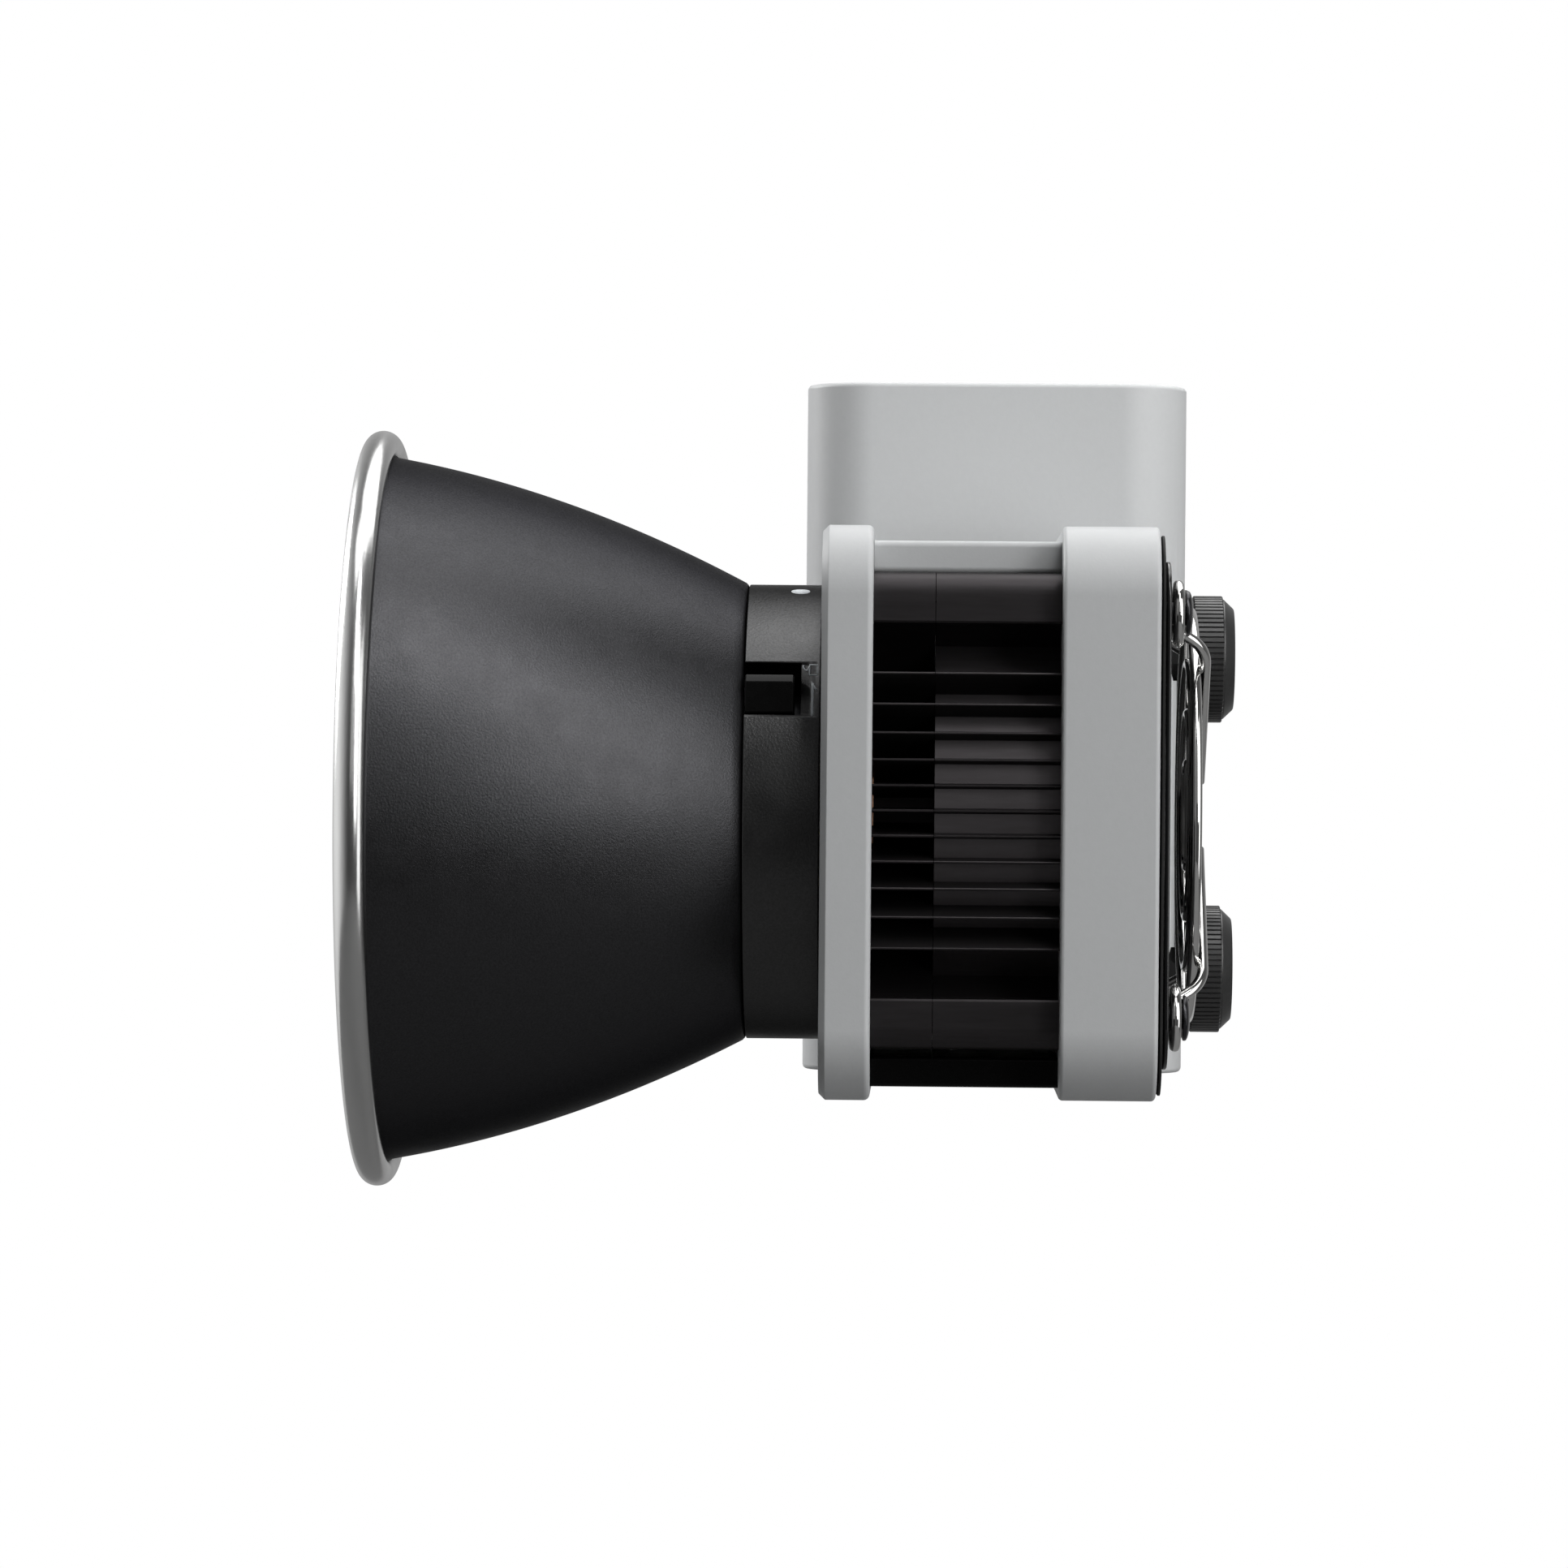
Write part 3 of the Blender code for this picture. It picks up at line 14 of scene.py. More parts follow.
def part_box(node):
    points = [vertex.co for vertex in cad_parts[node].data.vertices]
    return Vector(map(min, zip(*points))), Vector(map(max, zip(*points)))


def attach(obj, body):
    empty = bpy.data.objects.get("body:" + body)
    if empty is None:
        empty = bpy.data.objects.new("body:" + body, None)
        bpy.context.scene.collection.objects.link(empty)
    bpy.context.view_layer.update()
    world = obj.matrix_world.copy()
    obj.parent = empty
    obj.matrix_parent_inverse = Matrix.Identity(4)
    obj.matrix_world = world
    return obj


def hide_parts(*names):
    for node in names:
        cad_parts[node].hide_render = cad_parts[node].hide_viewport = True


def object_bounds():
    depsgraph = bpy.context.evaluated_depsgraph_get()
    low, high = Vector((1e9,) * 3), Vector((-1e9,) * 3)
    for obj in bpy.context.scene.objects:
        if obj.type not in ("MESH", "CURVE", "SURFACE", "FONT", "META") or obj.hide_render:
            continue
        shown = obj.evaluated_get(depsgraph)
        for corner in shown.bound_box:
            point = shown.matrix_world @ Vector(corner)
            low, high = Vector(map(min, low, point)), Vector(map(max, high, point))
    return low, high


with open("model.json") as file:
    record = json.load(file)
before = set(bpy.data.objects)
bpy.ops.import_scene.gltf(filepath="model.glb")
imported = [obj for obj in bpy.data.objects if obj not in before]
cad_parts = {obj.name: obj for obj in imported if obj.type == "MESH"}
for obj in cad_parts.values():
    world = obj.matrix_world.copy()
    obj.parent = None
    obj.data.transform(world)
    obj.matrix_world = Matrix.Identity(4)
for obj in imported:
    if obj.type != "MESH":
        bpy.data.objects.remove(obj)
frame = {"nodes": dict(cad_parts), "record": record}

cad_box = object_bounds()

MM = 0.001
WELD = 0.002
ROUND_STEPS = 192
CORNER_STEPS = 20
EDGE_ANGLE = 30.0
SHARP_ANGLE = 48.0
FLAT_ANGLE = 0.4
OVER = 1.0                # how far a cutter reaches past what it cuts

BODY_OF = {
    node: body
    for body, nodes in frame["record"]["behaviour"]["bodies"].items()
    for node in nodes
}


def box_of(node):
    """Lowest and highest corner of a CAD node, in millimetres."""
    low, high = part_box(node)
    return Vector(low) / MM, Vector(high) / MM


def middle_of(node):
    """Middle of a CAD node's box, in millimetres."""
    low, high = box_of(node)
    return (low + high) / 2


def radius_of(node):
    low, high = box_of(node)
    return (high.x - low.x) / 2


def side_of(node, inset=0.0):
    """Lowest and highest corner of a CAD node in X and Z, drawn in by an inset."""
    low, high = box_of(node)
    return (low.x + inset, low.z + inset), (high.x - inset, high.z - inset)


# Sizes read from the frame
MOUNT_LOW, MOUNT_HIGH = box_of("mount_ring")
BOWL_LOW, BOWL_HIGH = box_of("reflector_bowl")
SINK_FRONT = box_of("heat_sink_front")[0].y
DUCT_LOW, DUCT_HIGH = box_of("heat_sink_rear")
DIAL_LOW, DIAL_HIGH = box_of("upper_dial")
AXIS_Z = (MOUNT_LOW.z + MOUNT_HIGH.z) / 2
MOUNT_RADIUS = radius_of("mount_ring")
NECK_Y = BOWL_HIGH.y
RIM_RADIUS = radius_of("reflector_bowl")
DIAL_X = (DIAL_LOW.x + DIAL_HIGH.x) / 2
BUTTON_Z = middle_of("power_button").z

# Reflector bowl
BOWL_LENGTH = 55.65
NECK_RADIUS = 36.1
BOWL_FLARE = 29.3
BOWL_CURVE = -9.7
BOWL_WALL = 1.1
BOWL_BACK_HOLE = 30.1
BOWL_BACK_WALL = 1.0
BOWL_SHOULDER = 0.45
BOWL_STEPS = 48
BOWL_AROUND = 256
BOWL_ANGLE = 40.0
BEAD_HALF_HEIGHT = 2.3
BEAD_HALF_LENGTH = 2.5
BEAD_FRONT = BOWL_LOW.y + 1.8
BEAD_TUCK = 0.65
BEAD_TURN = (-44.0, 232.0)

# Dials
DIAL_RADIUS = (DIAL_HIGH.z - DIAL_LOW.z) / 2 + 0.13
DIAL_NODES = ("upper_dial", "lower_dial")
DIAL_COLLAR = 0.55
DIAL_CONE = 1.9
KNURL_COUNT = 72
KNURL_DEPTH = 0.32
DIAL_FACE = 8.5
DIAL_STEP = 0.55

# Frames and plates
GAP = 0.3
FRAME_CORNER = 11.0
FRONT_CHAMFER = 1.0
REAR_CHAMFER = 0.75
BACK_FILLET = 0.95
REAR_FILLET = 0.7
LIGHT_BORE = 30.0
POCKET_WALL = 3.5
POCKET_DEPTH = 4.5
POCKET_ROUND = 4.0
FAN_BORE = 32.6
FAN_OPENING = 33.0
TIE_PITCH = 62.2
TIE_HOLE = 2.25
TIE_DEPTH = 3.0
FRONT_GROWTH = 0.2
REAR_GROWTH = 0.1
FRONT_LIFT = 0.1
REAR_LIFT = 0.22
FRAME_BACK = SINK_FRONT - 0.48
REAR_FACE = DUCT_HIGH.y - 0.05
SEAM = 0.03

# Heat sink
FIN_PITCH = 5.625
FIN_SPAN = 30.0
FIN_ROOT = 0.42
FIN_THIN = 0.2
FIN_TIP = 39.5
CORE_RADIUS = 24.0
DUCT_OUTER = 38.7
DUCT_TOP = 35.9
DUCT_INNER = 34.2
HUB_RADIUS = 12.0
CORE_FINS = 16
SINK_LIFT = 0.47
SINK_TUCK = 0.35
SECTION_GAP = 0.1
ARM_TUCK = 0.8
BAR_TOP = 36.5
BAR_STEP = 28.75
BAR_LOW = 27.0
BAR_ROUND = 3.4
BAR_WEB = 2.0

# Bayonet ring
CLAW_RADIUS = 30.2
MOUNT_INNER = 32.0
CLAW_DEPTH = 2.5
CLAW_ANGLES = (90.0, 210.0, 330.0)
CLAW_SPAN = 34.0
NOTCH_ANGLES = (24.6, 39.9)
NOTCH_END = 8.65
MOUNT_SCREW_ANGLES = (60.0, 180.0, 300.0)
MOUNT_STEPS = 240
MOUNT_SOFT = 0.18
LUG_SPAN = 28.0
LUG_REACH = 31.6
LUG_Y = (-31.5, -29.6)

# Light source and window
GEL = ((0, -1.0), (6.0, -0.85), (10.5, -0.6), (11.6, -1.0), (12.4, -0.8), (12.6, 0.0), (0, 0.0))
HOLDER_HOLE = 14.0
HOLDER_CONE = 15.2
HOLDER_LIP = 2.1
SUBSTRATE_HALF = 19.3
COB_SCREW_X = 23.4
COB_SCREW_SINK = (2.7, 0.9)
WINDOW_LIP = 2.0

# Fan
FAN_CORNER = 3.0
SPIDER_RADIUS = 12.5
SPIDER_Y = (0.1, 1.7)
SPINDLE_RADIUS = 2.2
ROTOR_RADIUS = 14.0
ROTOR_INNER = 12.8
ROTOR_BORE = 2.6
BLADE_COUNT = 7
BLADE_REACH = (13.3, 31.9)
BLADE_HALF = 0.45
BLADE_PITCH = (34.0, 24.0)
BLADE_CAMBER = 3.0
BLADE_SWEEP = 9.0
BLADE_STEPS = 10

# Controller block
BLOCK_CORNER = 11.0
BLOCK_FILLET = 0.8
BLOCK_WALL = 2.2
HOLLOW_FILLET = 0.3
POST_RADIUS = 3.0
POST_BORE = 1.75
COVER_SINK = (3.1, 2.0)

# Control panel
PANEL_BACK = box_of("control_panel")[1].y - 1.8
PANEL_CORNER = 7.0
PANEL_BED = 1.9
DIAL_BOSS = 9.85
DIAL_WELL = 10.15
SHAFT_BORE = 3.95
BUTTON_BORE = 3.35
BUTTON_WELL = 3.9
BUTTON_RADII = (2.0, 3.6, 3.0)
GLASS_CORNER = 0.9
GLASS_MARGIN = 0.9
PANEL_CUT = (30.0, 40.0)

# Wire guard
WIRE = 0.875
GUARD_RINGS = (32.2, 24.2, 16.2, 8.2)
LEG_Y = 36.8
RING_Y = 35.3
LEG_END_Y = 32.6
EYELET_Y = 32.25
EYELET_RADIUS = 4.35
KNEE_RADIUS = 36.6
KNEE_BEND = 6.5

# Marks on the neck, as angles up from +X and places along Y
DOT_PLACE = (74.3, -26.3)
DOT_RADIUS = 1.5
MARK_LIFT = 0.03
MARK_STROKE = 0.26
LOCK_Y = -23.85
LOCK_HALF = 0.62
LOCK_ANGLES = (36.1, 39.3)
SHACKLE_RADIUS = 0.75
ARROW_Y = -23.95
ARROW_ANGLES = (24.2, 33.6)

# Camera, in metres and degrees
CAMERA_PLACE = (1.0, -0.00645, 0.0459)
CAMERA_AIM = (0.0, -0.0289, 0.0464)
CAMERA_ROLL = 0.5
CAMERA_FOCAL = 144.4
SENSOR = 36.0

# Stage, in metres and watts
FLOOR_DROP = 0.26
FLOOR_RADIUS = 0.7
FLOOR_GLOW = 0.75
FLOOR_TONE = (0.20, 0.20, 0.20)
LAMP_AIM_Y = -0.02
AMBIENT = 0.03
SKY_TOWARDS = (0.07, 0.10, 0.08)
SKY_AWAY = (0.45, 1.3, 0.05)
# Place, width and height, and power of each softbox
LAMPS = {
    "key_softbox": ((0.80, 0.62, 0.45), (0.3, 1.0), 5.0),
    "front_softbox": ((1.05, 0.25, 0.50), (0.5, 0.7), 0.5),
    "high_softbox": ((0.55, 0.22, 0.90), (0.20, 0.6), 3.5),
    "right_softbox": ((0.45, 1.0, 0.20), (0.5, 1.3), 3.8),
    "top_softbox": ((0.05, -0.10, 1.15), (0.5, 0.7), 2.8),
    "left_softbox": ((-0.5, -1.0, 0.5), (0.6, 0.6), 10.0),
    "rear_softbox": ((-0.4, 0.2, 0.9), (0.8, 0.8), 5.8),
}


# Mesh tools

def polar(radius, degrees):
    angle = math.radians(degrees)
    return radius * math.cos(angle), radius * math.sin(angle)


def add_object(name, data):
    item = bpy.data.objects.new(name, data)
    bpy.context.scene.collection.objects.link(item)
    return item


def finish_mesh(bm, name, materials, sharp=EDGE_ANGLE):
    """Turn a bmesh in millimetres into an object in metres, smooth between its sharp edges."""
    bmesh.ops.recalc_face_normals(bm, faces=bm.faces)
    bmesh.ops.scale(bm, vec=(MM, MM, MM), verts=bm.verts)
    for face in bm.faces:
        face.smooth = True
    mesh = bpy.data.meshes.new(name)
    bm.to_mesh(mesh)
    bm.free()
    mesh.set_sharp_from_angle(angle=math.radians(sharp))
    for material in materials:
        mesh.materials.append(material)
    return add_object(name, mesh)


def even_normals(piece):
    """Keep wide faces flat in the shading, so that only the rounded edges turn."""
    modifier = piece.modifiers.new("even_normals", "WEIGHTED_NORMAL")
    modifier.keep_sharp = True
    modifier.weight = 60
    return piece


def stands_for(piece, *nodes):
    """The piece rides where the nodes ride and is shown instead of them."""
    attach(piece, BODY_OF[nodes[0]])
    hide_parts(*nodes)
    return piece


def lathe(profile, steps=ROUND_STEPS, marks=None):
    """Spin a closed profile of (radius, y) points about Y. marks gives each stretch a material."""
    bm = bmesh.new()
    rings = []
    for radius, y in profile:
        if radius < WELD:
            rings.append([bm.verts.new((0, y, 0))] * steps)
            continue
        ring = []
        for step in range(steps):
            x, z = polar(radius, 360.0 * step / steps)
            ring.append(bm.verts.new((x, y, z)))
        rings.append(ring)
    for number, (low, high) in enumerate(zip(rings, rings[1:] + rings[:1])):
        for step in range(steps):
            after = (step + 1) % steps
            corners = list(dict.fromkeys((low[step], low[after], high[after], high[step])))
            if len(corners) > 2:
                face = bm.faces.new(corners)
                face.material_index = marks[number] if marks else 0
    return bm


def moved(bm, x=0.0, y=0.0, z=0.0):
    bmesh.ops.translate(bm, vec=(x, y, z), verts=bm.verts)
    return bm


def on_axis(bm):
    return moved(bm, z=AXIS_Z)


def skin(loops):
    """Faces between loops of points, with a flat face at each end."""
    bm = bmesh.new()
    rings = [[bm.verts.new(point) for point in loop] for loop in loops]
    count = len(rings[0])
    for lower, upper in zip(rings, rings[1:]):
        for step in range(count):
            after = (step + 1) % count
            bm.faces.new((lower[step], lower[after], upper[after], upper[step]))
    bm.faces.new(rings[0])
    bm.faces.new(rings[-1][::-1])
    return bm


def prism(outline, y0, y1):
    """Closed outline in X and Z, extruded along Y."""
    return skin([[(x, y, z) for x, z in outline] for y in (y0, y1)])


def bake(piece):
    """Apply a piece's modifiers to its mesh."""
    graph = bpy.context.evaluated_depsgraph_get()
    mesh = bpy.data.meshes.new_from_object(piece.evaluated_get(graph))
    piece.modifiers.clear()
    piece.data = mesh
    return piece


def cut(piece, *shapes, operation="DIFFERENCE"):
    """Take closed shapes out of a piece, one after the other."""
    for bm in shapes:
        tool = finish_mesh(bm, "cutter", [], SHARP_ANGLE)
        modifier = piece.modifiers.new("cut", "BOOLEAN")
        modifier.operation = operation
        modifier.solver = "EXACT"
        modifier.object = tool
        bake(piece)
        bpy.data.objects.remove(tool, do_unlink=True)
    return piece


def weld(piece, *shapes):
    return cut(piece, *shapes, operation="UNION")


def settle(bm, node, material, cuts=(), welds=()):
    """Make a shape the piece in place of a node, with shapes welded on and cut out."""
    piece = finish_mesh(bm, node + "_fine", [material])
    weld(piece, *welds)
    cut(piece, *cuts)
    return stands_for(even_normals(piece), node)


def dress(node, material, bevel=0.12):
    """A finer copy of a CAD node: welded, its outer edges rounded, and shaded smooth."""
    source = frame["nodes"][node]
    bm = bmesh.new()
    bm.from_mesh(source.data)
    bmesh.ops.transform(bm, matrix=source.matrix_world, verts=bm.verts)
    bmesh.ops.scale(bm, vec=(1 / MM, 1 / MM, 1 / MM), verts=bm.verts)
    bmesh.ops.remove_doubles(bm, verts=bm.verts, dist=WELD)
    bmesh.ops.dissolve_limit(bm, angle_limit=math.radians(FLAT_ANGLE), verts=bm.verts, edges=bm.edges)
    if bevel:
        limit = math.radians(SHARP_ANGLE)
        edges = [
            edge for edge in bm.edges
            if edge.is_manifold and edge.is_convex and edge.calc_face_angle() > limit
        ]
        bmesh.ops.bevel(
            bm, geom=edges, offset=bevel, offset_type="OFFSET", segments=2,
            profile=0.5, affect="EDGES", clamp_overlap=False,
        )
    piece = finish_mesh(bm, node + "_fine", [material], SHARP_ANGLE)
    return stands_for(even_normals(piece), node)


def rounded_path(corners, radius, steps=8):
    """Replace each inner corner of a path by an arc."""
    points = [corners[0]]
    for before, here, after in zip(corners, corners[1:], corners[2:]):
        to_before = (before - here).normalized()
        to_after = (after - here).normalized()
        half = to_before.angle(to_after) / 2
        reach = radius / math.tan(half)
        centre = here + (to_before + to_after).normalized() * radius / math.sin(half)
        start = here + to_before * reach - centre
        end = here + to_after * reach - centre
        for step in range(steps + 1):
            points.append(centre + start.slerp(end, step / steps).normalized() * radius)
    points.append(corners[-1])
    return points


# Round and square pieces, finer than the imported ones

def box_shape(low, high):
    """Plain box from its lowest to its highest corner."""
    bm = bmesh.new()
    bmesh.ops.create_cube(bm, size=1.0)
    size = Vector(high) - Vector(low)
    bmesh.ops.scale(bm, vec=size, verts=bm.verts)
    return moved(bm, *((Vector(low) + Vector(high)) / 2))


def rounded_outline(low, high, corner, steps=CORNER_STEPS):
    """Rectangle with round corners, from its lowest to its highest point."""
    points = []
    centres = (
        (high[0] - corner, high[1] - corner),
        (low[0] + corner, high[1] - corner),
        (low[0] + corner, low[1] + corner),
        (high[0] - corner, low[1] + corner),
    )
    for quarter, (a, b) in enumerate(centres):
        for step in range(steps + 1):
            da, db = polar(corner, 90.0 * (quarter + step / steps))
            points.append((a + da, b + db))
    return points


def loft(low, high, corner, profile, upright=False):
    """Rounded rectangle along Y, or along Z when upright. profile holds (inset, height)."""
    loops = []
    for inset, height in profile:
        inner_low = (low[0] + inset, low[1] + inset)
        inner_high = (high[0] - inset, high[1] - inset)
        outline = rounded_outline(inner_low, inner_high, max(corner - inset, 0.1))
        loops.append([(a, b, height) if upright else (a, height, b) for a, b in outline])
    return skin(loops)


def edge(size, height, inward):
    """Profile of a round edge that starts on the end face at a height and turns inward."""
    points = []
    for step in range(7):
        turn = math.radians(15.0 * step)
        points.append((size * (1 - math.sin(turn)), height + inward * size * (1 - math.cos(turn))))
    return points


def chamfer(size, height, inward, soft=0.28):
    """Profile of a flat chamfer with softened edges, from the end face to the side."""
    far = height + inward * size
    corners = [(size + 1.0, height), (size, height), (0.0, far), (0.0, far + inward)]
    return [(p.x, p.y) for p in rounded_path([Vector((a, b, 0)) for a, b in corners], soft, 5)][1:-1]


def slab(node, corner, front, rear, material, cuts=(), inset=0.0, lift=0.0):
    """Square piece across the optical axis, with an edge profile at each end, in place of a node."""
    bm = loft(*side_of(node, inset), corner, front + rear[::-1])
    return settle(moved(bm, z=lift), node, material, cuts)


def rod(radius, y0, y1):
    """Profile of a plain cylinder."""
    return [(0, y0), (radius, y0), (radius, y1), (0, y1)]


def turned(bm, axis, degrees):
    matrix = Quaternion(axis, math.radians(degrees)).to_matrix()
    bmesh.ops.rotate(bm, cent=(0, 0, 0), matrix=matrix, verts=bm.verts)
    return bm


def disc(radius, y0, y1, x=0.0, z=0.0, steps=96):
    """Round cutter or boss along Y, placed from the optical axis."""
    return on_axis(moved(lathe(rod(radius, y0, y1), steps), x=x, z=z))


def tie_holes(y0, y1):
    """Cutters for the four tie screws."""
    half = TIE_PITCH / 2
    places = [(sx * half, sz * half) for sx in (-1, 1) for sz in (-1, 1)]
    return merged([disc(TIE_HOLE, y0, y1, x, z, 24) for x, z in places])


def through(radius, y0, y1):
    """Cutters for a round opening and the four tie screws."""
    return disc(radius, y0 - OVER, y1 + OVER), tie_holes(y0 - OVER, y1 + OVER)


def mount_holes(radius, y0, y1, steps):
    """Cutters for the screws between the mount ring and the front frame."""
    places = [polar((MOUNT_RADIUS + MOUNT_INNER) / 2, angle) for angle in MOUNT_SCREW_ANGLES]
    return merged([disc(radius, y0, y1, x, z, steps) for x, z in places])


def merged(parts):
    """Join separate shapes into the first one."""
    base = parts[0]
    for part in parts[1:]:
        mesh = bpy.data.meshes.new("joined")
        part.to_mesh(mesh)
        part.free()
        base.from_mesh(mesh)
        bpy.data.meshes.remove(mesh)
    return base


def soft_loop(profile, radius, steps=3):
    """Round the corners of a closed profile of (radius, y), except those on the axis."""
    points = []
    count = len(profile)
    for number, here in enumerate(profile):
        if here[0] < WELD:
            points.append(here)
            continue
        three = [profile[number - 1], here, profile[(number + 1) % count]]
        arc = rounded_path([Vector((a, b, 0)) for a, b in three], radius, steps)
        points += [(point.x, point.y) for point in arc[1:-1]]
    return points


def round_piece(node, profile, material, soft=0.15, steps=ROUND_STEPS, cuts=(), welds=()):
    """Turned piece about the optical axis in place of a node, with softened edges."""
    bm = on_axis(lathe(soft_loop(profile, soft), steps))
    return settle(bm, node, material, cuts, welds)


def sector(inner, outer, first, last, y0, y1):
    """Piece of a ring between two angles, as a cutter or a lug."""
    steps = max(3, round(abs(last - first) / 1.5))
    angles = [first + (last - first) * step / steps for step in range(steps + 1)]
    outline = [polar(outer, angle) for angle in angles]
    outline += [polar(inner, angle) for angle in reversed(angles)]
    return on_axis(prism(outline, y0, y1))


# Materials

EVEN = (1.0, 1.0, 1.0)
DRAWN = (1.0, 9.0, 1.0)
ROLLED = (1.0, 1.0, 6.0)

# Dark and light tone, least and most roughness, metallic, specular, size and depth of the grain,
# and for some its stretch, how much is mirrored at a slant, and the tones' size against the grain's
COATS = {
    "grey_paint": ((0.48, 0.49, 0.495), (0.51, 0.52, 0.525), (0.44, 0.52), 0.0, 0.45, 0.35, 0.010),
    # The block's grey is a lighter copy of grey_paint. The extra lightness is painted light, standing for the
    # stronger light on the block's face.
    "block_grey_painted_light": ((0.59, 0.60, 0.605), (0.62, 0.63, 0.635), (0.44, 0.52), 0.0, 0.45, 0.35, 0.010),
    "black_coat": (
        (0.030, 0.030, 0.031), (0.066, 0.066, 0.070), (0.36, 0.42), 1.0, 0.5, 0.30, 0.035, EVEN, 0.35, 1.0,
    ),
    "neck_coat": (
        (0.045, 0.045, 0.045), (0.085, 0.085, 0.086), (0.30, 0.36), 1.0, 0.5, 0.36, 0.035, EVEN, 0.35, 1.0,
    ),
    "black_anodised": (
        (0.034, 0.031, 0.032), (0.046, 0.043, 0.045), (0.38, 0.46), 0.9, 0.3, 0.25, 0.008, DRAWN, 0.6,
    ),
    # The duct wall's lighter black is painted light: the same anodised black, lightened where the wall looks
    # lit between the ribs.
    "duct_wall_painted_light": (
        (0.070, 0.064, 0.066), (0.092, 0.086, 0.090), (0.40, 0.48), 0.9, 0.3, 0.25, 0.008, DRAWN, 0.6,
    ),
    "black_plastic": ((0.016, 0.016, 0.016), (0.024, 0.024, 0.024), (0.40, 0.50), 0.0, 0.35, 0.22, 0.01),
    "gloss_black": ((0.006, 0.006, 0.0065), (0.009, 0.009, 0.0095), (0.10, 0.17), 0.0, 0.5, 0.9, 0.003),
    "dial_black": ((0.022, 0.022, 0.022), (0.032, 0.032, 0.032), (0.30, 0.38), 0.0, 0.5, 0.22, 0.008),
    # Near-black with weak specular: the lock lever's black, and on the recessed bottom plate painted shade
    # for the shade it sits in.
    "deep_black_and_painted_shade": ((0.002, 0.002, 0.002), (0.004, 0.004, 0.004), (0.16, 0.22), 0.0, 0.12, 0.4, 0.004),
    "black_steel": ((0.030, 0.030, 0.032), (0.042, 0.042, 0.045), (0.24, 0.32), 0.9, 0.5, 0.4, 0.006),
    "chrome_plate": ((0.66, 0.655, 0.645), (0.74, 0.735, 0.725), (0.06, 0.12), 1.0, 0.5, 1.4, 0.004),
    "bright_rim": ((0.50, 0.50, 0.497), (0.56, 0.56, 0.556), (0.20, 0.27), 1.0, 0.5, 0.5, 0.008, ROLLED),
    "plated_steel": ((0.50, 0.50, 0.49), (0.58, 0.58, 0.57), (0.22, 0.32), 1.0, 0.5, 0.4, 0.006),
    "bare_copper": ((0.66, 0.36, 0.23), (0.74, 0.43, 0.29), (0.28, 0.40), 1.0, 0.5, 0.6, 0.008),
    "phosphor_gel": ((0.78, 0.56, 0.10), (0.92, 0.70, 0.20), (0.35, 0.50), 0.0, 0.5, 0.5, 0.04),
    "white_ceramic": ((0.74, 0.75, 0.75), (0.80, 0.81, 0.81), (0.35, 0.45), 0.0, 0.5, 0.4, 0.004),
    "solder_mask": ((0.010, 0.065, 0.030), (0.016, 0.095, 0.042), (0.30, 0.42), 0.0, 0.5, 1.0, 0.01),
    "rubber_sheet": ((0.010, 0.010, 0.010), (0.016, 0.016, 0.016), (0.65, 0.80), 0.0, 0.3, 0.3, 0.02),
    "pad_print": ((0.42, 0.45, 0.47), (0.50, 0.53, 0.55), (0.50, 0.60), 0.0, 0.4, 0.3, 0.004),
    "white_print": ((0.62, 0.65, 0.68), (0.70, 0.73, 0.75), (0.45, 0.55), 0.0, 0.4, 0.3, 0.004),
    "display_glass": ((0.008, 0.009, 0.011), (0.011, 0.012, 0.014), (0.05, 0.09), 0.0, 0.5, 2.0, 0.001),
}


def start_material(name, colour, roughness, metallic=0.0, specular=0.5):
    material = bpy.data.materials.new(name)
    material.use_nodes = True
    shader = material.node_tree.nodes["Principled BSDF"]
    shader.inputs["Base Color"].default_value = (*colour, 1.0)
    shader.inputs["Roughness"].default_value = roughness
    shader.inputs["Metallic"].default_value = metallic
    shader.inputs["Specular IOR Level"].default_value = specular
    return material, material.node_tree, shader


def add_node(tree, kind, inputs=None, **settings):
    """New shader node with its settings, and with a value or a link for each input."""
    node = tree.nodes.new("ShaderNode" + kind)
    for name, value in settings.items():
        setattr(node, name, value)
    for socket, value in (inputs or {}).items():
        if isinstance(value, bpy.types.NodeSocket):
            tree.links.new(value, node.inputs[socket])
        else:
            node.inputs[socket].default_value = value
    return node


def noise(tree, size, detail=2.0, stretch=EVEN):
    """Noise with features about size millimetres across, drawn out along an axis by stretch."""
    place = add_node(tree, "TexCoord").outputs["Object"]
    mapping = add_node(tree, "Mapping", {"Vector": place, "Scale": [1.0 / part for part in stretch]})
    values = {"Vector": mapping.outputs["Vector"], "Scale": 1.0 / (size * MM), "Detail": detail}
    return add_node(tree, "TexNoise", values).outputs["Fac"]


def rings(tree, pitch):
    """Fine turning marks: rings about the optical axis, one every pitch millimetres along Y."""
    place = add_node(tree, "TexCoord").outputs["Object"]
    values = {"Vector": place, "Scale": math.tau / 20.0 / (pitch * MM), "Distortion": 1.2, "Detail": 2.0}
    return add_node(tree, "TexWave", values, wave_type="BANDS", bands_direction="Y").outputs["Fac"]


def drive(tree, factor, socket, low, high):
    """Let a pattern move a number between two values."""
    values = {"Value": factor, "From Min": 0.3, "From Max": 0.7, "To Min": low, "To Max": high}
    tree.links.new(add_node(tree, "MapRange", values).outputs["Result"], socket)


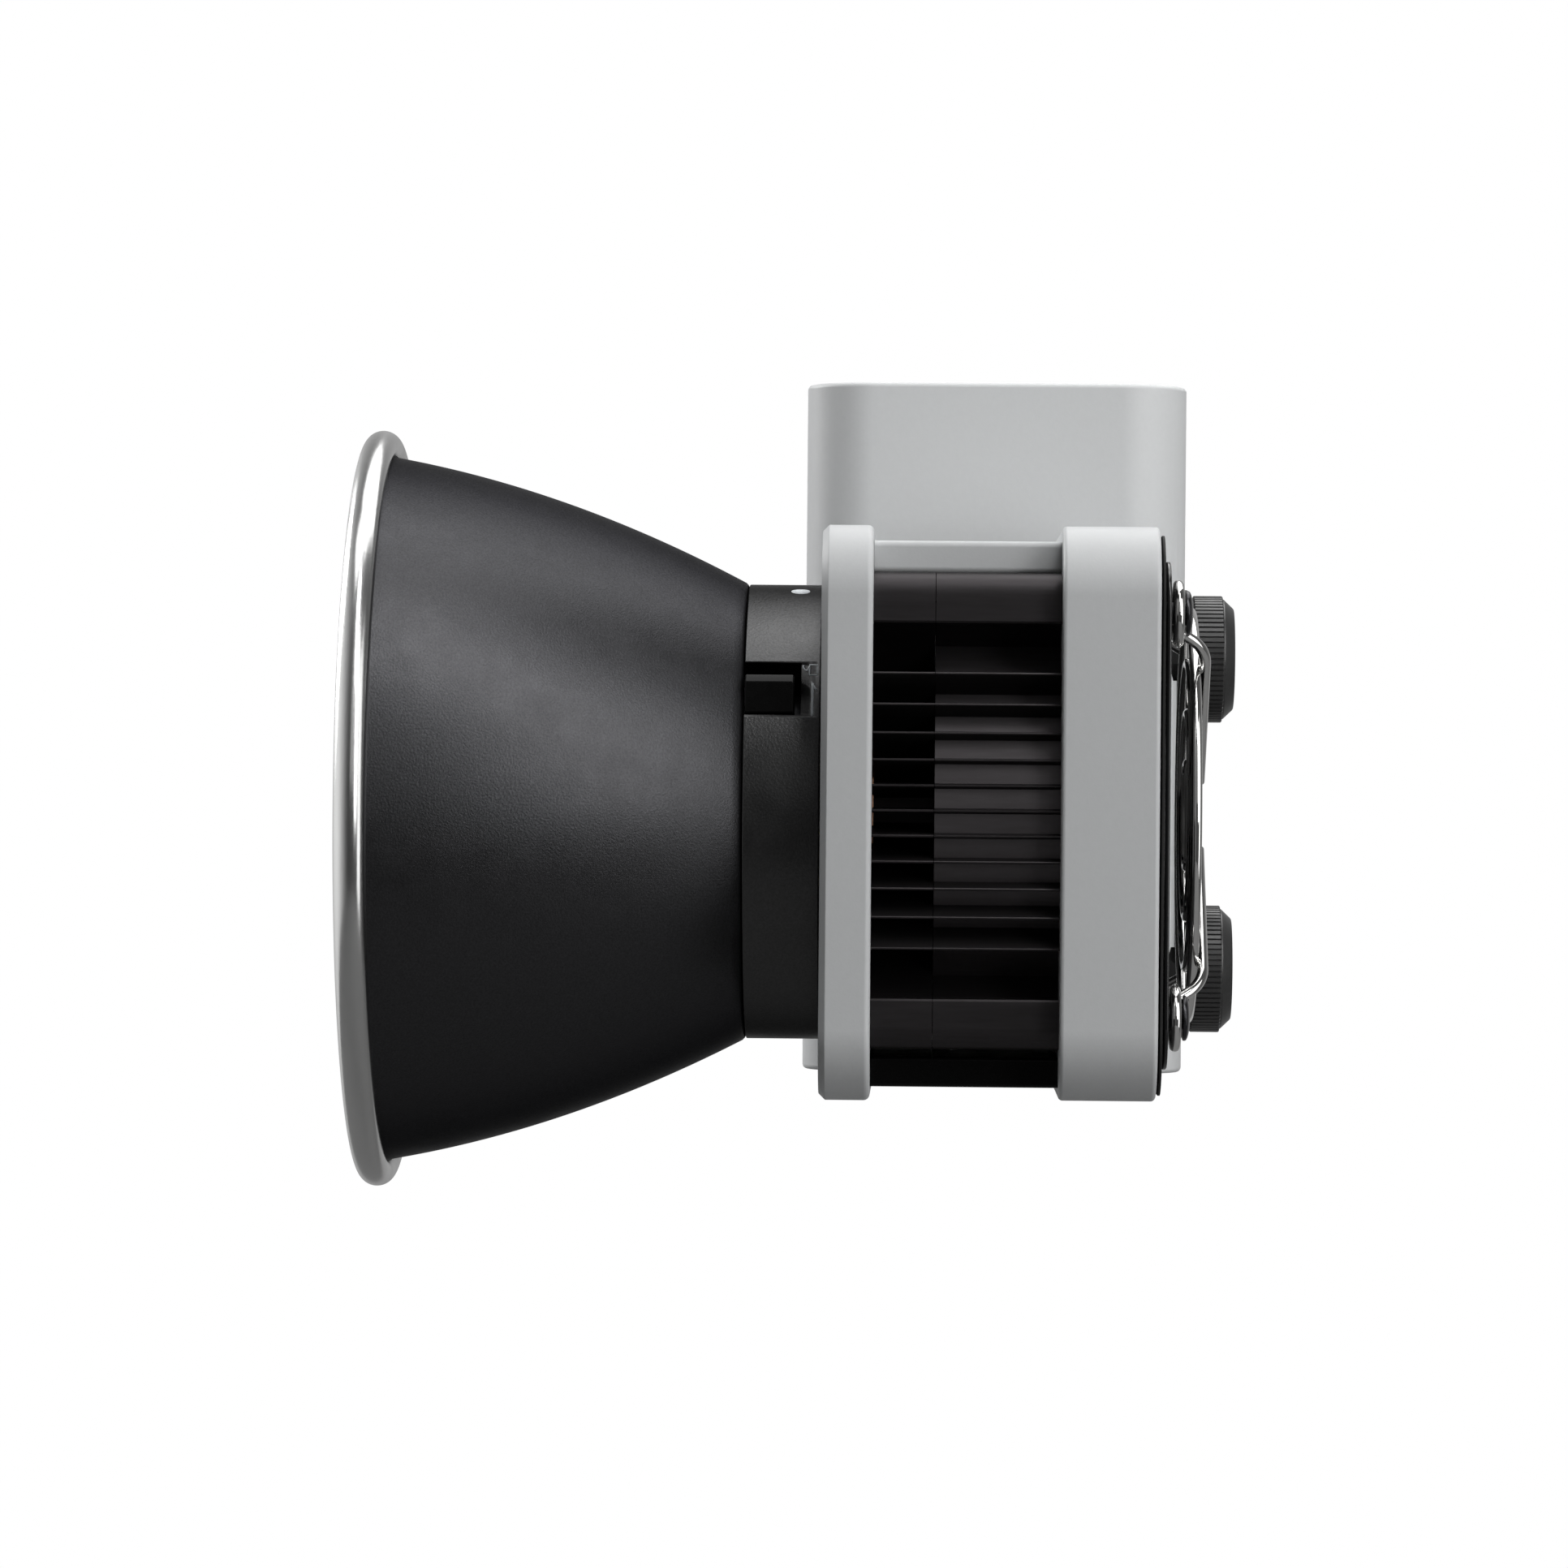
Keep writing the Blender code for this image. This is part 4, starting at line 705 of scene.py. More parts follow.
def tint(tree, shader, factor, dark, light):
    """Let a pattern move the colour between two tones."""
    mix = add_node(tree, "Mix", {"Factor": factor}, data_type="RGBA")
    colours = [socket for socket in mix.inputs if socket.type == "RGBA"]
    colours[0].default_value = (*dark, 1.0)
    colours[1].default_value = (*light, 1.0)
    result = [socket for socket in mix.outputs if socket.type == "RGBA"][0]
    tree.links.new(result, shader.inputs["Base Color"])


def bump(tree, shader, height, depth):
    """Raise the surface by a pattern, depth millimetres from its lowest to its highest."""
    node = add_node(tree, "Bump", {"Distance": depth * MM, "Strength": 1.0, "Height": height})
    tree.links.new(node.outputs["Normal"], shader.inputs["Normal"])


def coated(name, dark, light, rough, metallic, specular, grain, depth, stretch=EVEN, slant=1.0, blotch=2.5):
    """A coat with two close tones, uneven gloss and a fine grain."""
    material, tree, shader = start_material(name, light, sum(rough) / 2, metallic, specular)
    shader.inputs["Specular Tint"].default_value = (slant, slant, slant, 1.0)
    tint(tree, shader, noise(tree, grain * blotch, 3.0, stretch), dark, light)
    drive(tree, noise(tree, grain * 14.0, 3.0, stretch), shader.inputs["Roughness"], *rough)
    bump(tree, shader, noise(tree, grain, 2.0, stretch), depth)
    return material


def make_satin_silver():
    """Spun aluminium inside the bowl: fine turning marks in a satin sheen."""
    material, tree, shader = start_material("spun_silver", (0.72, 0.72, 0.71), 0.32, 1.0)
    tint(tree, shader, noise(tree, 1.2, 3.0), (0.68, 0.68, 0.67), (0.76, 0.76, 0.75))
    drive(tree, noise(tree, 9.0), shader.inputs["Roughness"], 0.26, 0.36)
    bump(tree, shader, rings(tree, 0.5), 0.012)
    return material


def make_clear_glass():
    """Window glass with barely uneven gloss."""
    material, tree, shader = start_material("clear_window", (0.96, 0.98, 0.98), 0.02)
    shader.inputs["Transmission Weight"].default_value = 1.0
    shader.inputs["IOR"].default_value = 1.45
    drive(tree, noise(tree, 12.0), shader.inputs["Roughness"], 0.01, 0.04)
    return material


# Reflector

def bowl_radius(y):
    """Outer radius of the bowl, flaring from the neck and easing towards the rim."""
    part = (NECK_Y - y) / BOWL_LENGTH
    return NECK_RADIUS + BOWL_FLARE * part + BOWL_CURVE * part * part


def bead_point(degrees):
    """Point on the rolled rim: 0 is its rear, 90 its outer side and 180 its front."""
    angle = math.radians(degrees)
    radius = RIM_RADIUS - BEAD_HALF_HEIGHT + BEAD_HALF_HEIGHT * math.sin(angle)
    return radius, BEAD_FRONT + BEAD_HALF_LENGTH * (1.0 + math.cos(angle))


def make_bowl(black, bright, silver):
    """Bowl with a flat back, a coated outside, a bright rolled rim and a satin inside."""
    first = NECK_Y - BOWL_SHOULDER
    front = BEAD_FRONT + 2 * BEAD_HALF_LENGTH - BEAD_TUCK
    outer = []
    bead = []
    for step in range(BOWL_STEPS + 1):
        share = step / BOWL_STEPS
        y = first + (front - first) * share
        outer.append((bowl_radius(y), y))
        bead.append(bead_point(BEAD_TURN[0] + (BEAD_TURN[1] - BEAD_TURN[0]) * share))
    inner = [(radius - BOWL_WALL, y) for radius, y in reversed(outer)]
    back = NECK_Y - BOWL_BACK_WALL
    start = [(BOWL_BACK_HOLE, NECK_Y), (NECK_RADIUS - 0.35, NECK_Y), (NECK_RADIUS - 0.1, NECK_Y - 0.12)]
    end = [(NECK_RADIUS - 1.6, back), (BOWL_BACK_HOLE, back)]
    marks = [0] * (len(start) + len(outer)) + [1] * len(bead) + [2] * (len(inner) + len(end))
    bm = on_axis(lathe(start + outer + bead + inner + end, BOWL_AROUND, marks))
    bowl = finish_mesh(bm, "bowl_skin", [black, bright, silver], BOWL_ANGLE)
    stands_for(bowl, "reflector_bowl")


# Dials

def knurled(depth):
    """Outline of a barrel with flat-topped ridges and narrow grooves."""
    points = []
    for ridge in range(KNURL_COUNT):
        for part, drop in ((0.0, 0.0), (0.62, 0.0), (0.72, depth), (0.90, depth)):
            points.append((DIAL_RADIUS - drop, 360.0 * (ridge + part) / KNURL_COUNT))
    return points


def make_dial(node, material):
    """Knurled barrel on a smooth collar, with a stepped cone up to its flat face."""
    low, high = box_of(node)
    y0, y1 = low.y, high.y
    barrel, cone = y0 + DIAL_COLLAR, y1 - DIAL_CONE
    groove = KNURL_DEPTH
    levels = [
        (y0, None, DIAL_RADIUS - 0.7), (barrel, None, DIAL_RADIUS - 0.55), (barrel, groove, -0.12),
        (barrel + 0.15, groove, 0.0), (cone - 0.15, groove, 0.0), (cone, groove, -0.12),
        (cone + 0.02, None, DIAL_RADIUS - DIAL_STEP), (cone + 0.25, None, DIAL_RADIUS - DIAL_STEP - 0.05),
        (y1 - 0.2, None, DIAL_FACE + 0.15), (y1, None, DIAL_FACE - 0.1), (y1, None, DIAL_FACE - 1.2),
        (y1 - 0.08, None, DIAL_FACE - 1.3),
    ]
    loops = []
    for y, depth, value in levels:
        loop = []
        for radius, angle in knurled(depth or 0.0):
            x, z = polar(value if depth is None else radius + value, angle)
            loop.append((x, y, z))
        loops.append(loop)
    centre = middle_of(node)
    dial = moved(skin(loops), x=centre.x, z=centre.z)
    stands_for(finish_mesh(dial, node + "_knurled", [material]), node)


# Frames, plates and heat sink

def make_front_frame(material):
    """Front frame: chamfer in front, rounded back edge close to the heat sink, and the hollow behind."""
    low, high = box_of("front_frame")
    back = FRAME_BACK
    floor = high.y - POCKET_DEPTH
    corner = FRAME_CORNER - POCKET_WALL + POCKET_ROUND
    pocket = loft(*side_of("front_frame", POCKET_WALL), corner, [(0, floor), (0, back + OVER)])
    bore = disc(LIGHT_BORE, low.y - OVER, back + OVER)
    screws = mount_holes(1.3, low.y - OVER, low.y + 2.6, 24)
    cuts = (bore, pocket, tie_holes(low.y + TIE_DEPTH, back + OVER), screws)
    front, rear = chamfer(FRONT_CHAMFER, low.y, 1), edge(BACK_FILLET, back, -1)
    slab("front_frame", FRAME_CORNER, front, rear, material, cuts, -FRONT_GROWTH, FRONT_LIFT)


def make_rear_frame(material):
    """Rear frame with the hollow that holds the fan."""
    low, high = box_of("rear_frame")
    fan = box_of("fan_housing")[0].y
    hollow = loft(*side_of("fan_housing", -GAP), FAN_CORNER, [(0, fan - GAP), (0, high.y + OVER)])
    cuts = (hollow, *through(FAN_OPENING, low.y, fan))
    front, rear = edge(REAR_FILLET, REAR_FACE, 1), edge(REAR_CHAMFER, high.y, -1)
    slab("rear_frame", FRAME_CORNER, front, rear, material, cuts, -REAR_GROWTH, REAR_LIFT)


def make_sheet(node, corner, soft, hole, material, inset=0.0, shift=0.0):
    """Thin plate with a round opening and the tie screw holes."""
    low, high = box_of(node)
    y0, y1 = low.y + shift, high.y + shift
    front, rear = edge(soft, y0, 1), edge(soft, y1, -1)
    slab(node, corner, front, rear, material, through(hole, y0, y1), inset)


def fin(degrees, root):
    """Outline of one tapered fin, whose tip lies on the flat sides of the heat sink."""
    ux, uz = polar(1.0, degrees)
    tip = min(FIN_TIP / max(abs(ux), WELD), BAR_TOP / max(abs(uz), WELD))
    base = math.sqrt(root * root - FIN_ROOT * FIN_ROOT)
    half = ((base, FIN_ROOT), (tip - 0.12, FIN_THIN), (tip, FIN_THIN - 0.1))
    shape = half + tuple((along, -across) for along, across in reversed(half))
    return [(along * ux + across * uz, along * uz - across * ux) for along, across in shape]


def bar(quadrant, root):
    """Outline of one corner bar: a web from the core, a step, and a round outer corner."""
    diagonal = root * math.sqrt(0.5)
    centre = (FIN_TIP - BAR_ROUND, BAR_TOP - BAR_ROUND)
    points = [
        (diagonal + BAR_WEB, diagonal - BAR_WEB), (BAR_STEP + 2 * BAR_WEB, BAR_STEP),
        (FIN_TIP - 0.3, BAR_STEP), (FIN_TIP, BAR_STEP + 0.3),
    ]
    for step in range(9):
        dx, dz = polar(BAR_ROUND, 90.0 * step / 8)
        points.append((centre[0] + dx, centre[1] + dz))
    points += [(BAR_LOW, BAR_TOP), (BAR_LOW, BAR_LOW + 2 * BAR_WEB)]
    points.append((diagonal - BAR_WEB, diagonal + BAR_WEB))
    sx = 1 if quadrant in (0, 3) else -1
    sz = 1 if quadrant in (0, 1) else -1
    placed = [(sx * x, sz * z) for x, z in points]
    return placed if sx * sz > 0 else placed[::-1]


def duct_radius(degrees):
    """Outside of the duct wall: round at the sides, flat above and below."""
    return min(DUCT_OUTER, DUCT_TOP / max(abs(polar(1.0, degrees)[1]), WELD))


def core_radius(degrees):
    """Outside of the front section's core, the same all round."""
    return CORE_RADIUS


def sink_outline(root):
    """Outline round the core or the duct, and out along each fin and corner bar."""
    shapes = {}
    for number in range(round(360.0 / FIN_PITCH)):
        angle = number * FIN_PITCH
        if abs((angle + 45.0) % 90.0 - 45.0) <= FIN_SPAN:
            shapes[angle] = fin(angle, root(angle))
            middle = angle + FIN_PITCH / 2
            shapes[middle] = [polar(root(middle), middle)]
    for quadrant in range(4):
        angle = 45.0 + 90.0 * quadrant
        shapes[angle] = bar(quadrant, root(angle))
    return [point for angle in sorted(shapes) for point in shapes[angle]]


def star(root, reach, count):
    """Outline of a round hub with straight arms."""
    points = []
    for number in range(count):
        angle = 360.0 * (number + 0.5) / count
        ux, uz = polar(1.0, angle)
        arm = ((root, FIN_ROOT), (reach, FIN_ROOT), (reach, -FIN_ROOT), (root, -FIN_ROOT))
        for along, across in arm:
            points.append((along * ux + across * uz, along * uz - across * ux))
    return points


def sink_section(name, root, y0, y1, materials):
    """One extruded length of the heat sink. The walls between its fins take the second material, which on the
    duct is a lighter black as painted light.
    """
    bm = prism(sink_outline(root), y0, y1)
    bm.normal_update()
    for face in bm.faces:
        middle = face.calc_center_median()
        out = Vector((middle.x, 0, middle.z))
        if out.length < DUCT_OUTER + 0.2 and abs(face.normal.dot(out.normalized())) > 0.8:
            face.material_index = len(materials) - 1
    return finish_mesh(moved(on_axis(bm), z=SINK_LIFT), name, materials)


def make_heat_sink(material, wall):
    """Front section with open fins, and rear section with the fins inside a duct."""
    low, high = FRAME_BACK - SINK_TUCK, DUCT_LOW.y - SECTION_GAP
    front = sink_section("sink_front_fine", core_radius, low, high, [material])
    stands_for(cut(front, tie_holes(low - OVER, high + OVER)), "heat_sink_front")
    low, high = DUCT_LOW.y, REAR_FACE - SEAM
    # The duct wall between the ribs takes the lighter black, which is painted light.
    rear = sink_section("sink_rear_fine", duct_radius, low, high, [material, wall])
    cut(rear, disc(DUCT_INNER, low - OVER, high + OVER))
    weld(rear, on_axis(prism(star(HUB_RADIUS, DUCT_INNER + ARM_TUCK, CORE_FINS), low, high)))
    stands_for(cut(rear, tie_holes(low - OVER, high + OVER)), "heat_sink_rear")


def make_top_plate(material):
    """Plate over the heat sink, from frame to frame and down to the corner bars."""
    low, high = box_of("top_plate")
    floor = AXIS_Z + SINK_LIFT + BAR_TOP + SEAM
    bm = loft((low.x, floor), (high.x, high.z), 1.0, [(0, FRAME_BACK + SEAM), (0, REAR_FACE - SEAM)])
    settle(bm, "top_plate", material)


# Neck, window and light source

def make_mount_ring(material):
    """Bayonet ring with three claws, a notch for the lever and three screw holes."""
    y0, y1 = MOUNT_LOW.y, MOUNT_HIGH.y
    front = y0 - 0.15
    claw = y0 + CLAW_DEPTH
    profile = [
        (CLAW_RADIUS, front), (MOUNT_RADIUS, front), (MOUNT_RADIUS, y1),
        (MOUNT_INNER, y1), (MOUNT_INNER, claw), (CLAW_RADIUS, claw),
    ]
    gaps = []
    for angle in CLAW_ANGLES:
        first, last = angle + CLAW_SPAN / 2, angle + 120.0 - CLAW_SPAN / 2
        gaps.append(sector(CLAW_RADIUS - 2, MOUNT_INNER + 0.2, first, last, y0 - 1, claw + 2))
    notch = sector(MOUNT_INNER - 2, MOUNT_RADIUS + 3, *NOTCH_ANGLES, y0 - 2, y0 + NOTCH_END)
    cuts = (merged(gaps), notch, mount_holes(1.65, y0 - OVER, y0 + 2.0, 32))
    round_piece("mount_ring", profile, material, MOUNT_SOFT, MOUNT_STEPS, cuts)


def make_collar(material):
    """Flanged tube with three lugs behind the claws."""
    low, high = box_of("reflector_collar")
    front = low.y + 1.0
    profile = [
        (28.0, low.y), (34.0, low.y), (34.0, front), (29.8, front), (29.8, high.y), (28.0, high.y),
    ]
    lugs = [sector(29.0, LUG_REACH, a - LUG_SPAN / 2, a + LUG_SPAN / 2, *LUG_Y) for a in CLAW_ANGLES]
    round_piece("reflector_collar", profile, material, 0.15, welds=(merged(lugs),))


def make_light_source(black, copper, phosphor):
    """Copper base, domed gel of the emitter, and the holder with its square seat and screw sinks."""
    low, high = box_of("cob_base")
    round_piece("cob_base", rod(radius_of("cob_base"), low.y, high.y), copper)
    back = box_of("cob_emitter")[1].y
    round_piece("cob_emitter", [(radius, back + rise) for radius, rise in GEL], phosphor, 0.1)
    low, high = box_of("cob_holder")
    outer = radius_of("cob_holder")
    body = [
        (HOLDER_HOLE, high.y - HOLDER_LIP), (HOLDER_CONE, low.y), (outer, low.y), (outer, high.y),
        (HOLDER_HOLE, high.y),
    ]
    half = SUBSTRATE_HALF
    seat = [(0, box_of("cob_substrate")[0].y - GAP), (0, high.y + OVER)]
    square = loft((-half, AXIS_Z - half), (half, AXIS_Z + half), 1.2, seat)
    radius, depth = COB_SCREW_SINK
    sinks = [disc(radius, low.y - OVER, low.y + depth, x, 0.0, 48) for x in (-COB_SCREW_X, COB_SCREW_X)]
    round_piece("cob_holder", body, black, cuts=(square, merged(sinks)))


def make_window(glass, black):
    """Round window glass, and the ring that keeps it."""
    low, high = box_of("window_glass")
    radius, front = radius_of("window_glass"), low.y - GAP
    round_piece("window_glass", rod(radius, low.y, high.y), glass, 0.2)
    low, high = box_of("window_ring")
    outer = radius_of("window_ring")
    lip, seat = radius - WINDOW_LIP, radius + GAP
    ring = [(lip, low.y), (outer, low.y), (outer, high.y), (seat, high.y), (seat, front), (lip, front)]
    round_piece("window_ring", ring, black, 0.2)


# Fan

def make_fan(material):
    """Square housing with a round bore, a spider and a spindle, and the rotor with pitched blades."""
    low, high = box_of("fan_housing")
    spider = (low.y + SPIDER_Y[0], low.y + SPIDER_Y[1])
    front, rear = edge(0.3, low.y, 1), edge(0.3, high.y, -1)
    bore = through(FAN_BORE, low.y, high.y)
    housing = slab("fan_housing", FAN_CORNER, front, rear, material, bore)
    arms = on_axis(prism(star(SPIDER_RADIUS, FAN_BORE + ARM_TUCK, 4), *spider))
    spindle = disc(SPINDLE_RADIUS, low.y + 0.9, high.y - 3.4, steps=32)
    weld(housing, arms, disc(SPIDER_RADIUS, *spider), spindle)

    low, high = box_of("fan_rotor")
    y0, y1 = low.y, high.y
    profile = [
        (ROTOR_BORE, y0 + 3.0), (ROTOR_INNER, y0 + 3.0), (ROTOR_INNER, y0), (ROTOR_RADIUS, y0),
        (ROTOR_RADIUS, y1 - 1.2), (ROTOR_INNER, y1), (0, y1), (0, y1 - 2.0), (ROTOR_BORE, y1 - 2.0),
    ]
    parts = [lathe(soft_loop(profile, 0.25), 120)]
    for number in range(BLADE_COUNT):
        parts.append(blade(y0 + 0.4, y1 - 1.1, 360.0 * number / BLADE_COUNT))
    stands_for(finish_mesh(on_axis(merged(parts)), "rotor_fine", [material]), "fan_rotor")


def blade(y0, y1, turn):
    """One swept blade, thin and pitched, from inside the hub wall to near the bore."""
    loops = []
    steps = range(BLADE_STEPS + 1)
    for part in [number / BLADE_STEPS for number in steps]:
        radius = BLADE_REACH[0] + (BLADE_REACH[1] - BLADE_REACH[0]) * part
        angle = BLADE_PITCH[0] + (BLADE_PITCH[1] - BLADE_PITCH[0]) * part
        half = math.degrees(BLADE_HALF / radius)
        loop = []
        for side, order in ((1, steps), (-1, reversed(steps))):
            for along in [step / BLADE_STEPS for step in order]:
                swell = math.sin(math.pi * along)
                pitch = angle * (along - 0.5) + BLADE_CAMBER * swell
                thin = half * (0.35 + 0.65 * swell)
                x, z = polar(radius, turn + BLADE_SWEEP * part + pitch + side * thin)
                loop.append((x, y0 + (y1 - y0) * along, z))
        loops.append(loop)
    return skin(loops)


# Controller block

def block_shape(inset, fillet):
    """The whole block, or the hollow in it, with rounded top and bottom edges."""
    low, high = box_of("controller_case")
    far = box_of("controller_cover")[0].x
    bottom, top = low.z + inset, high.z - inset
    profile = edge(fillet, bottom, 1) + edge(fillet, top, -1)[::-1]
    corners = ((far + inset, low.y + inset), (high.x - inset, high.y - inset))
    return loft(*corners, BLOCK_CORNER - inset, profile, True)


def x_disc(radius, x0, x1, y, z, steps=32):
    """Round cutter along X."""
    return moved(turned(lathe(rod(radius, 0, x1 - x0), steps), (0, 0, 1), -90.0), x0, y, z)


def dial_discs(radius, y0, y1, steps):
    """Round cutters or bosses at the two dials."""
    places = [middle_of(node).z - AXIS_Z for node in DIAL_NODES]
    return merged([disc(radius, y0, y1, DIAL_X, z, steps) for z in places])


def make_case(material):
    """Half of the block towards the lamp, with the recess for the control panel."""
    low, high = box_of("controller_case")
    floor = PANEL_BACK - GAP
    panel = side_of("control_panel")
    piece = finish_mesh(block_shape(0, BLOCK_FILLET), "case_fine", [material])
    cut(piece, box_shape((low.x - 20, low.y - 5, low.z - 5), (low.x, high.y + 5, high.z + 5)))
    cut(piece, block_shape(BLOCK_WALL, HOLLOW_FILLET))
    weld(piece, loft(*panel, PANEL_CORNER, [(0.6, floor - PANEL_BED), (0.6, floor)]))
    recess = loft(*panel, PANEL_CORNER, [(-GAP, floor), (-GAP, high.y + 2)])
    wells = dial_discs(DIAL_WELL, *PANEL_CUT, 64)
    opening = [(-GLASS_MARGIN, y) for y in PANEL_CUT]
    window = loft(*side_of("display_window"), GLASS_CORNER, opening)
    button = disc(BUTTON_WELL, *PANEL_CUT, DIAL_X, BUTTON_Z - AXIS_Z, 48)
    inlet = turned(lathe(rod(radius_of("power_inlet") + GAP, 0, 5), 48), (1, 0, 0), 90.0)
    centre = middle_of("power_inlet")
    cut(piece, recess, wells, window, button, moved(inlet, centre.x, centre.y, low.z - OVER))
    stands_for(even_normals(piece), "controller_case")


def make_cover(material):
    """Outer half of the block, with four sunk screw holes."""
    low, high = box_of("controller_cover")
    piece = finish_mesh(block_shape(0, BLOCK_FILLET), "cover_fine", [material])
    cut(piece, box_shape((high.x, low.y - 5, low.z - 5), (high.x + 40, high.y + 5, high.z + 5)))
    cut(piece, block_shape(BLOCK_WALL, HOLLOW_FILLET))
    posts = []
    holes = []
    sinks = []
    for number in range(1, 5):
        _, y, z = middle_of("cover_screw_" + str(number))
        posts.append(x_disc(POST_RADIUS, low.x + OVER, high.x, y, z))
        holes.append(x_disc(POST_BORE, low.x - OVER, high.x + OVER, y, z))
        sinks.append(x_disc(COVER_SINK[0], low.x - OVER, low.x + COVER_SINK[1], y, z))
    weld(piece, merged(posts))
    cut(piece, merged(holes), merged(sinks))
    stands_for(even_normals(piece), "controller_cover")


def make_panel(material):
    """Control panel with two bosses under the dials, and openings for display and button."""
    low, high = box_of("control_panel")
    front, back = low.y - 3, high.y + 3
    profile = edge(0.2, PANEL_BACK, 1) + edge(0.45, high.y, -1)[::-1]
    piece = finish_mesh(loft(*side_of("control_panel"), PANEL_CORNER, profile), "panel_fine", [material])
    weld(piece, dial_discs(DIAL_BOSS, low.y, PANEL_BACK + 0.5, 64))
    window = loft(*side_of("display_window"), GLASS_CORNER, [(-GAP, front), (-GAP, back)])
    button = disc(BUTTON_BORE, front, back, DIAL_X, BUTTON_Z - AXIS_Z, 48)
    cut(piece, dial_discs(SHAFT_BORE, front, back, 48), window, button)
    stands_for(even_normals(piece), "control_panel")


def make_button(material):
    """Button cap with the collar that keeps it in and the stem to its switch."""
    low, high = box_of("power_button")
    y0, y1 = low.y, high.y
    stem, collar, cap = BUTTON_RADII
    profile = [
        (0, y0), (stem, y0), (stem, y0 + 1.0), (collar, y0 + 1.0), (collar, y0 + 1.9), (cap, y0 + 1.9),
        (cap, y1), (0, y1 - 0.3),
    ]
    bm = moved(lathe(soft_loop(profile, 0.3), 64), x=DIAL_X, z=BUTTON_Z)
    stands_for(finish_mesh(bm, "button_fine", [material]), "power_button")


# Wire guard

def circle_path(radius, y, cx=0.0, cz=0.0, steps=96):
    points = []
    for step in range(steps):
        x, z = polar(radius, 360.0 * step / steps)
        points.append(Vector((cx + x, y, AXIS_Z + cz + z)))
    return points


def make_wires(name, paths, material):
    """Round wires along paths in millimetres, each (points, closed), as one mesh."""
    curve = bpy.data.curves.new(name, "CURVE")
    curve.dimensions = "3D"
    curve.bevel_depth = WIRE * MM
    curve.bevel_resolution = 6
    curve.use_fill_caps = True
    for points, closed in paths:
        spline = curve.splines.new("POLY")
        spline.points.add(len(points) - 1)
        spline.use_cyclic_u = closed
        for slot, point in zip(spline.points, points):
            slot.co = (*(point * MM), 1.0)
    holder = add_object(name + "_curve", curve)
    graph = bpy.context.evaluated_depsgraph_get()
    mesh = bpy.data.meshes.new_from_object(holder.evaluated_get(graph))
    bpy.data.objects.remove(holder)
    mesh.materials.clear()
    mesh.materials.append(material)
    mesh.shade_smooth()
    return add_object(name, mesh)


def make_guard(material):
    """Concentric rings welded to four cranked legs, whose ends are bent into eyelets."""
    paths = [(circle_path(radius, RING_Y, steps=160), True) for radius in GUARD_RINGS]
    eyelet = TIE_PITCH / 2 * math.sqrt(2.0)
    for quarter in range(4):
        ux, uz = polar(1.0, 45.0 + 90.0 * quarter)
        tip = eyelet - EYELET_RADIUS + 0.5
        reaches = ((GUARD_RINGS[-1] - 0.6, LEG_Y), (KNEE_RADIUS, LEG_Y), (tip, LEG_END_Y))
        corners = [Vector((reach * ux, y, AXIS_Z + reach * uz)) for reach, y in reaches]
        paths.append((rounded_path(corners, KNEE_BEND, 12), False))
        paths.append((circle_path(EYELET_RADIUS, EYELET_Y, eyelet * ux, eyelet * uz, 64), True))
    stands_for(make_wires("guard_wires", paths, material), "fan_guard")


# Screws

# How many there are, the turn about Z from +Y to the way the heads face, their height, the shank's radius
SIDEWAYS = 90.0
SCREWS = {
    "tie_screw": (4, 0.0, 1.2, 1.75),
    "cover_screw": (4, SIDEWAYS, 1.4, 1.15),
    "mount_screw": (3, 180.0, 1.5, 0.95),
    "cob_screw": (2, 180.0, 1.1, 1.3),
}


def spread_out(place):
    """Small step from a packed tie screw to the place it has in the photograph."""
    half = TIE_PITCH / 2
    dx = math.copysign(half, place.x) - place.x
    dz = AXIS_Z + math.copysign(half, place.z - AXIS_Z) - place.z
    return Vector((dx, 0, dz))


def make_screws(base, material):
    """Domed socket screws of one kind, which share a mesh."""
    count, turn, height, shank = SCREWS[base]
    low, high = box_of(base + "_1")
    size = high - low
    length, width = (size.x, size.y) if turn == SIDEWAYS else (size.y, size.x)
    head = max(size.z, width) / 2
    dome = [polar(1.0, 90.0 * step / 8) for step in range(9)]
    profile = [(0, height - length), (shank, height - length), (shank, 0), (head * 0.93, 0), (head, 0.12)]
    profile += [(head * across, height * (0.35 + 0.65 * up)) for across, up in dome]
    first = finish_mesh(lathe(profile, 48), base + "_fine_1", [material], 35.0)
    hexagon = [polar(head * 0.45, 60.0 * corner) for corner in range(6)]
    cut(first, prism(hexagon, height * 0.45, height + 1))
    first.data.materials.clear()
    first.data.materials.append(material)
    for number in range(1, count + 1):
        node = base + "_" + str(number)
        piece = first
        if number > 1:
            piece = add_object(base + "_fine_" + str(number), first.data)
        place = middle_of(node)
        if base == "tie_screw":
            place += spread_out(place)
        along = Vector((-math.sin(math.radians(turn)), math.cos(math.radians(turn)), 0))
        place += along * (length / 2 - height)
        piece.location = place * MM
        piece.rotation_euler = (0, 0, math.radians(turn))
        bpy.context.view_layer.update()
        stands_for(piece, node)


# Marks printed on the neck

def on_neck(arc, y):
    """Point on the neck, a little proud of it, from an angle up from +X and a place along Y."""
    x, z = polar(MOUNT_RADIUS + MARK_LIFT, arc)
    return Vector((x, y, AXIS_Z + z))


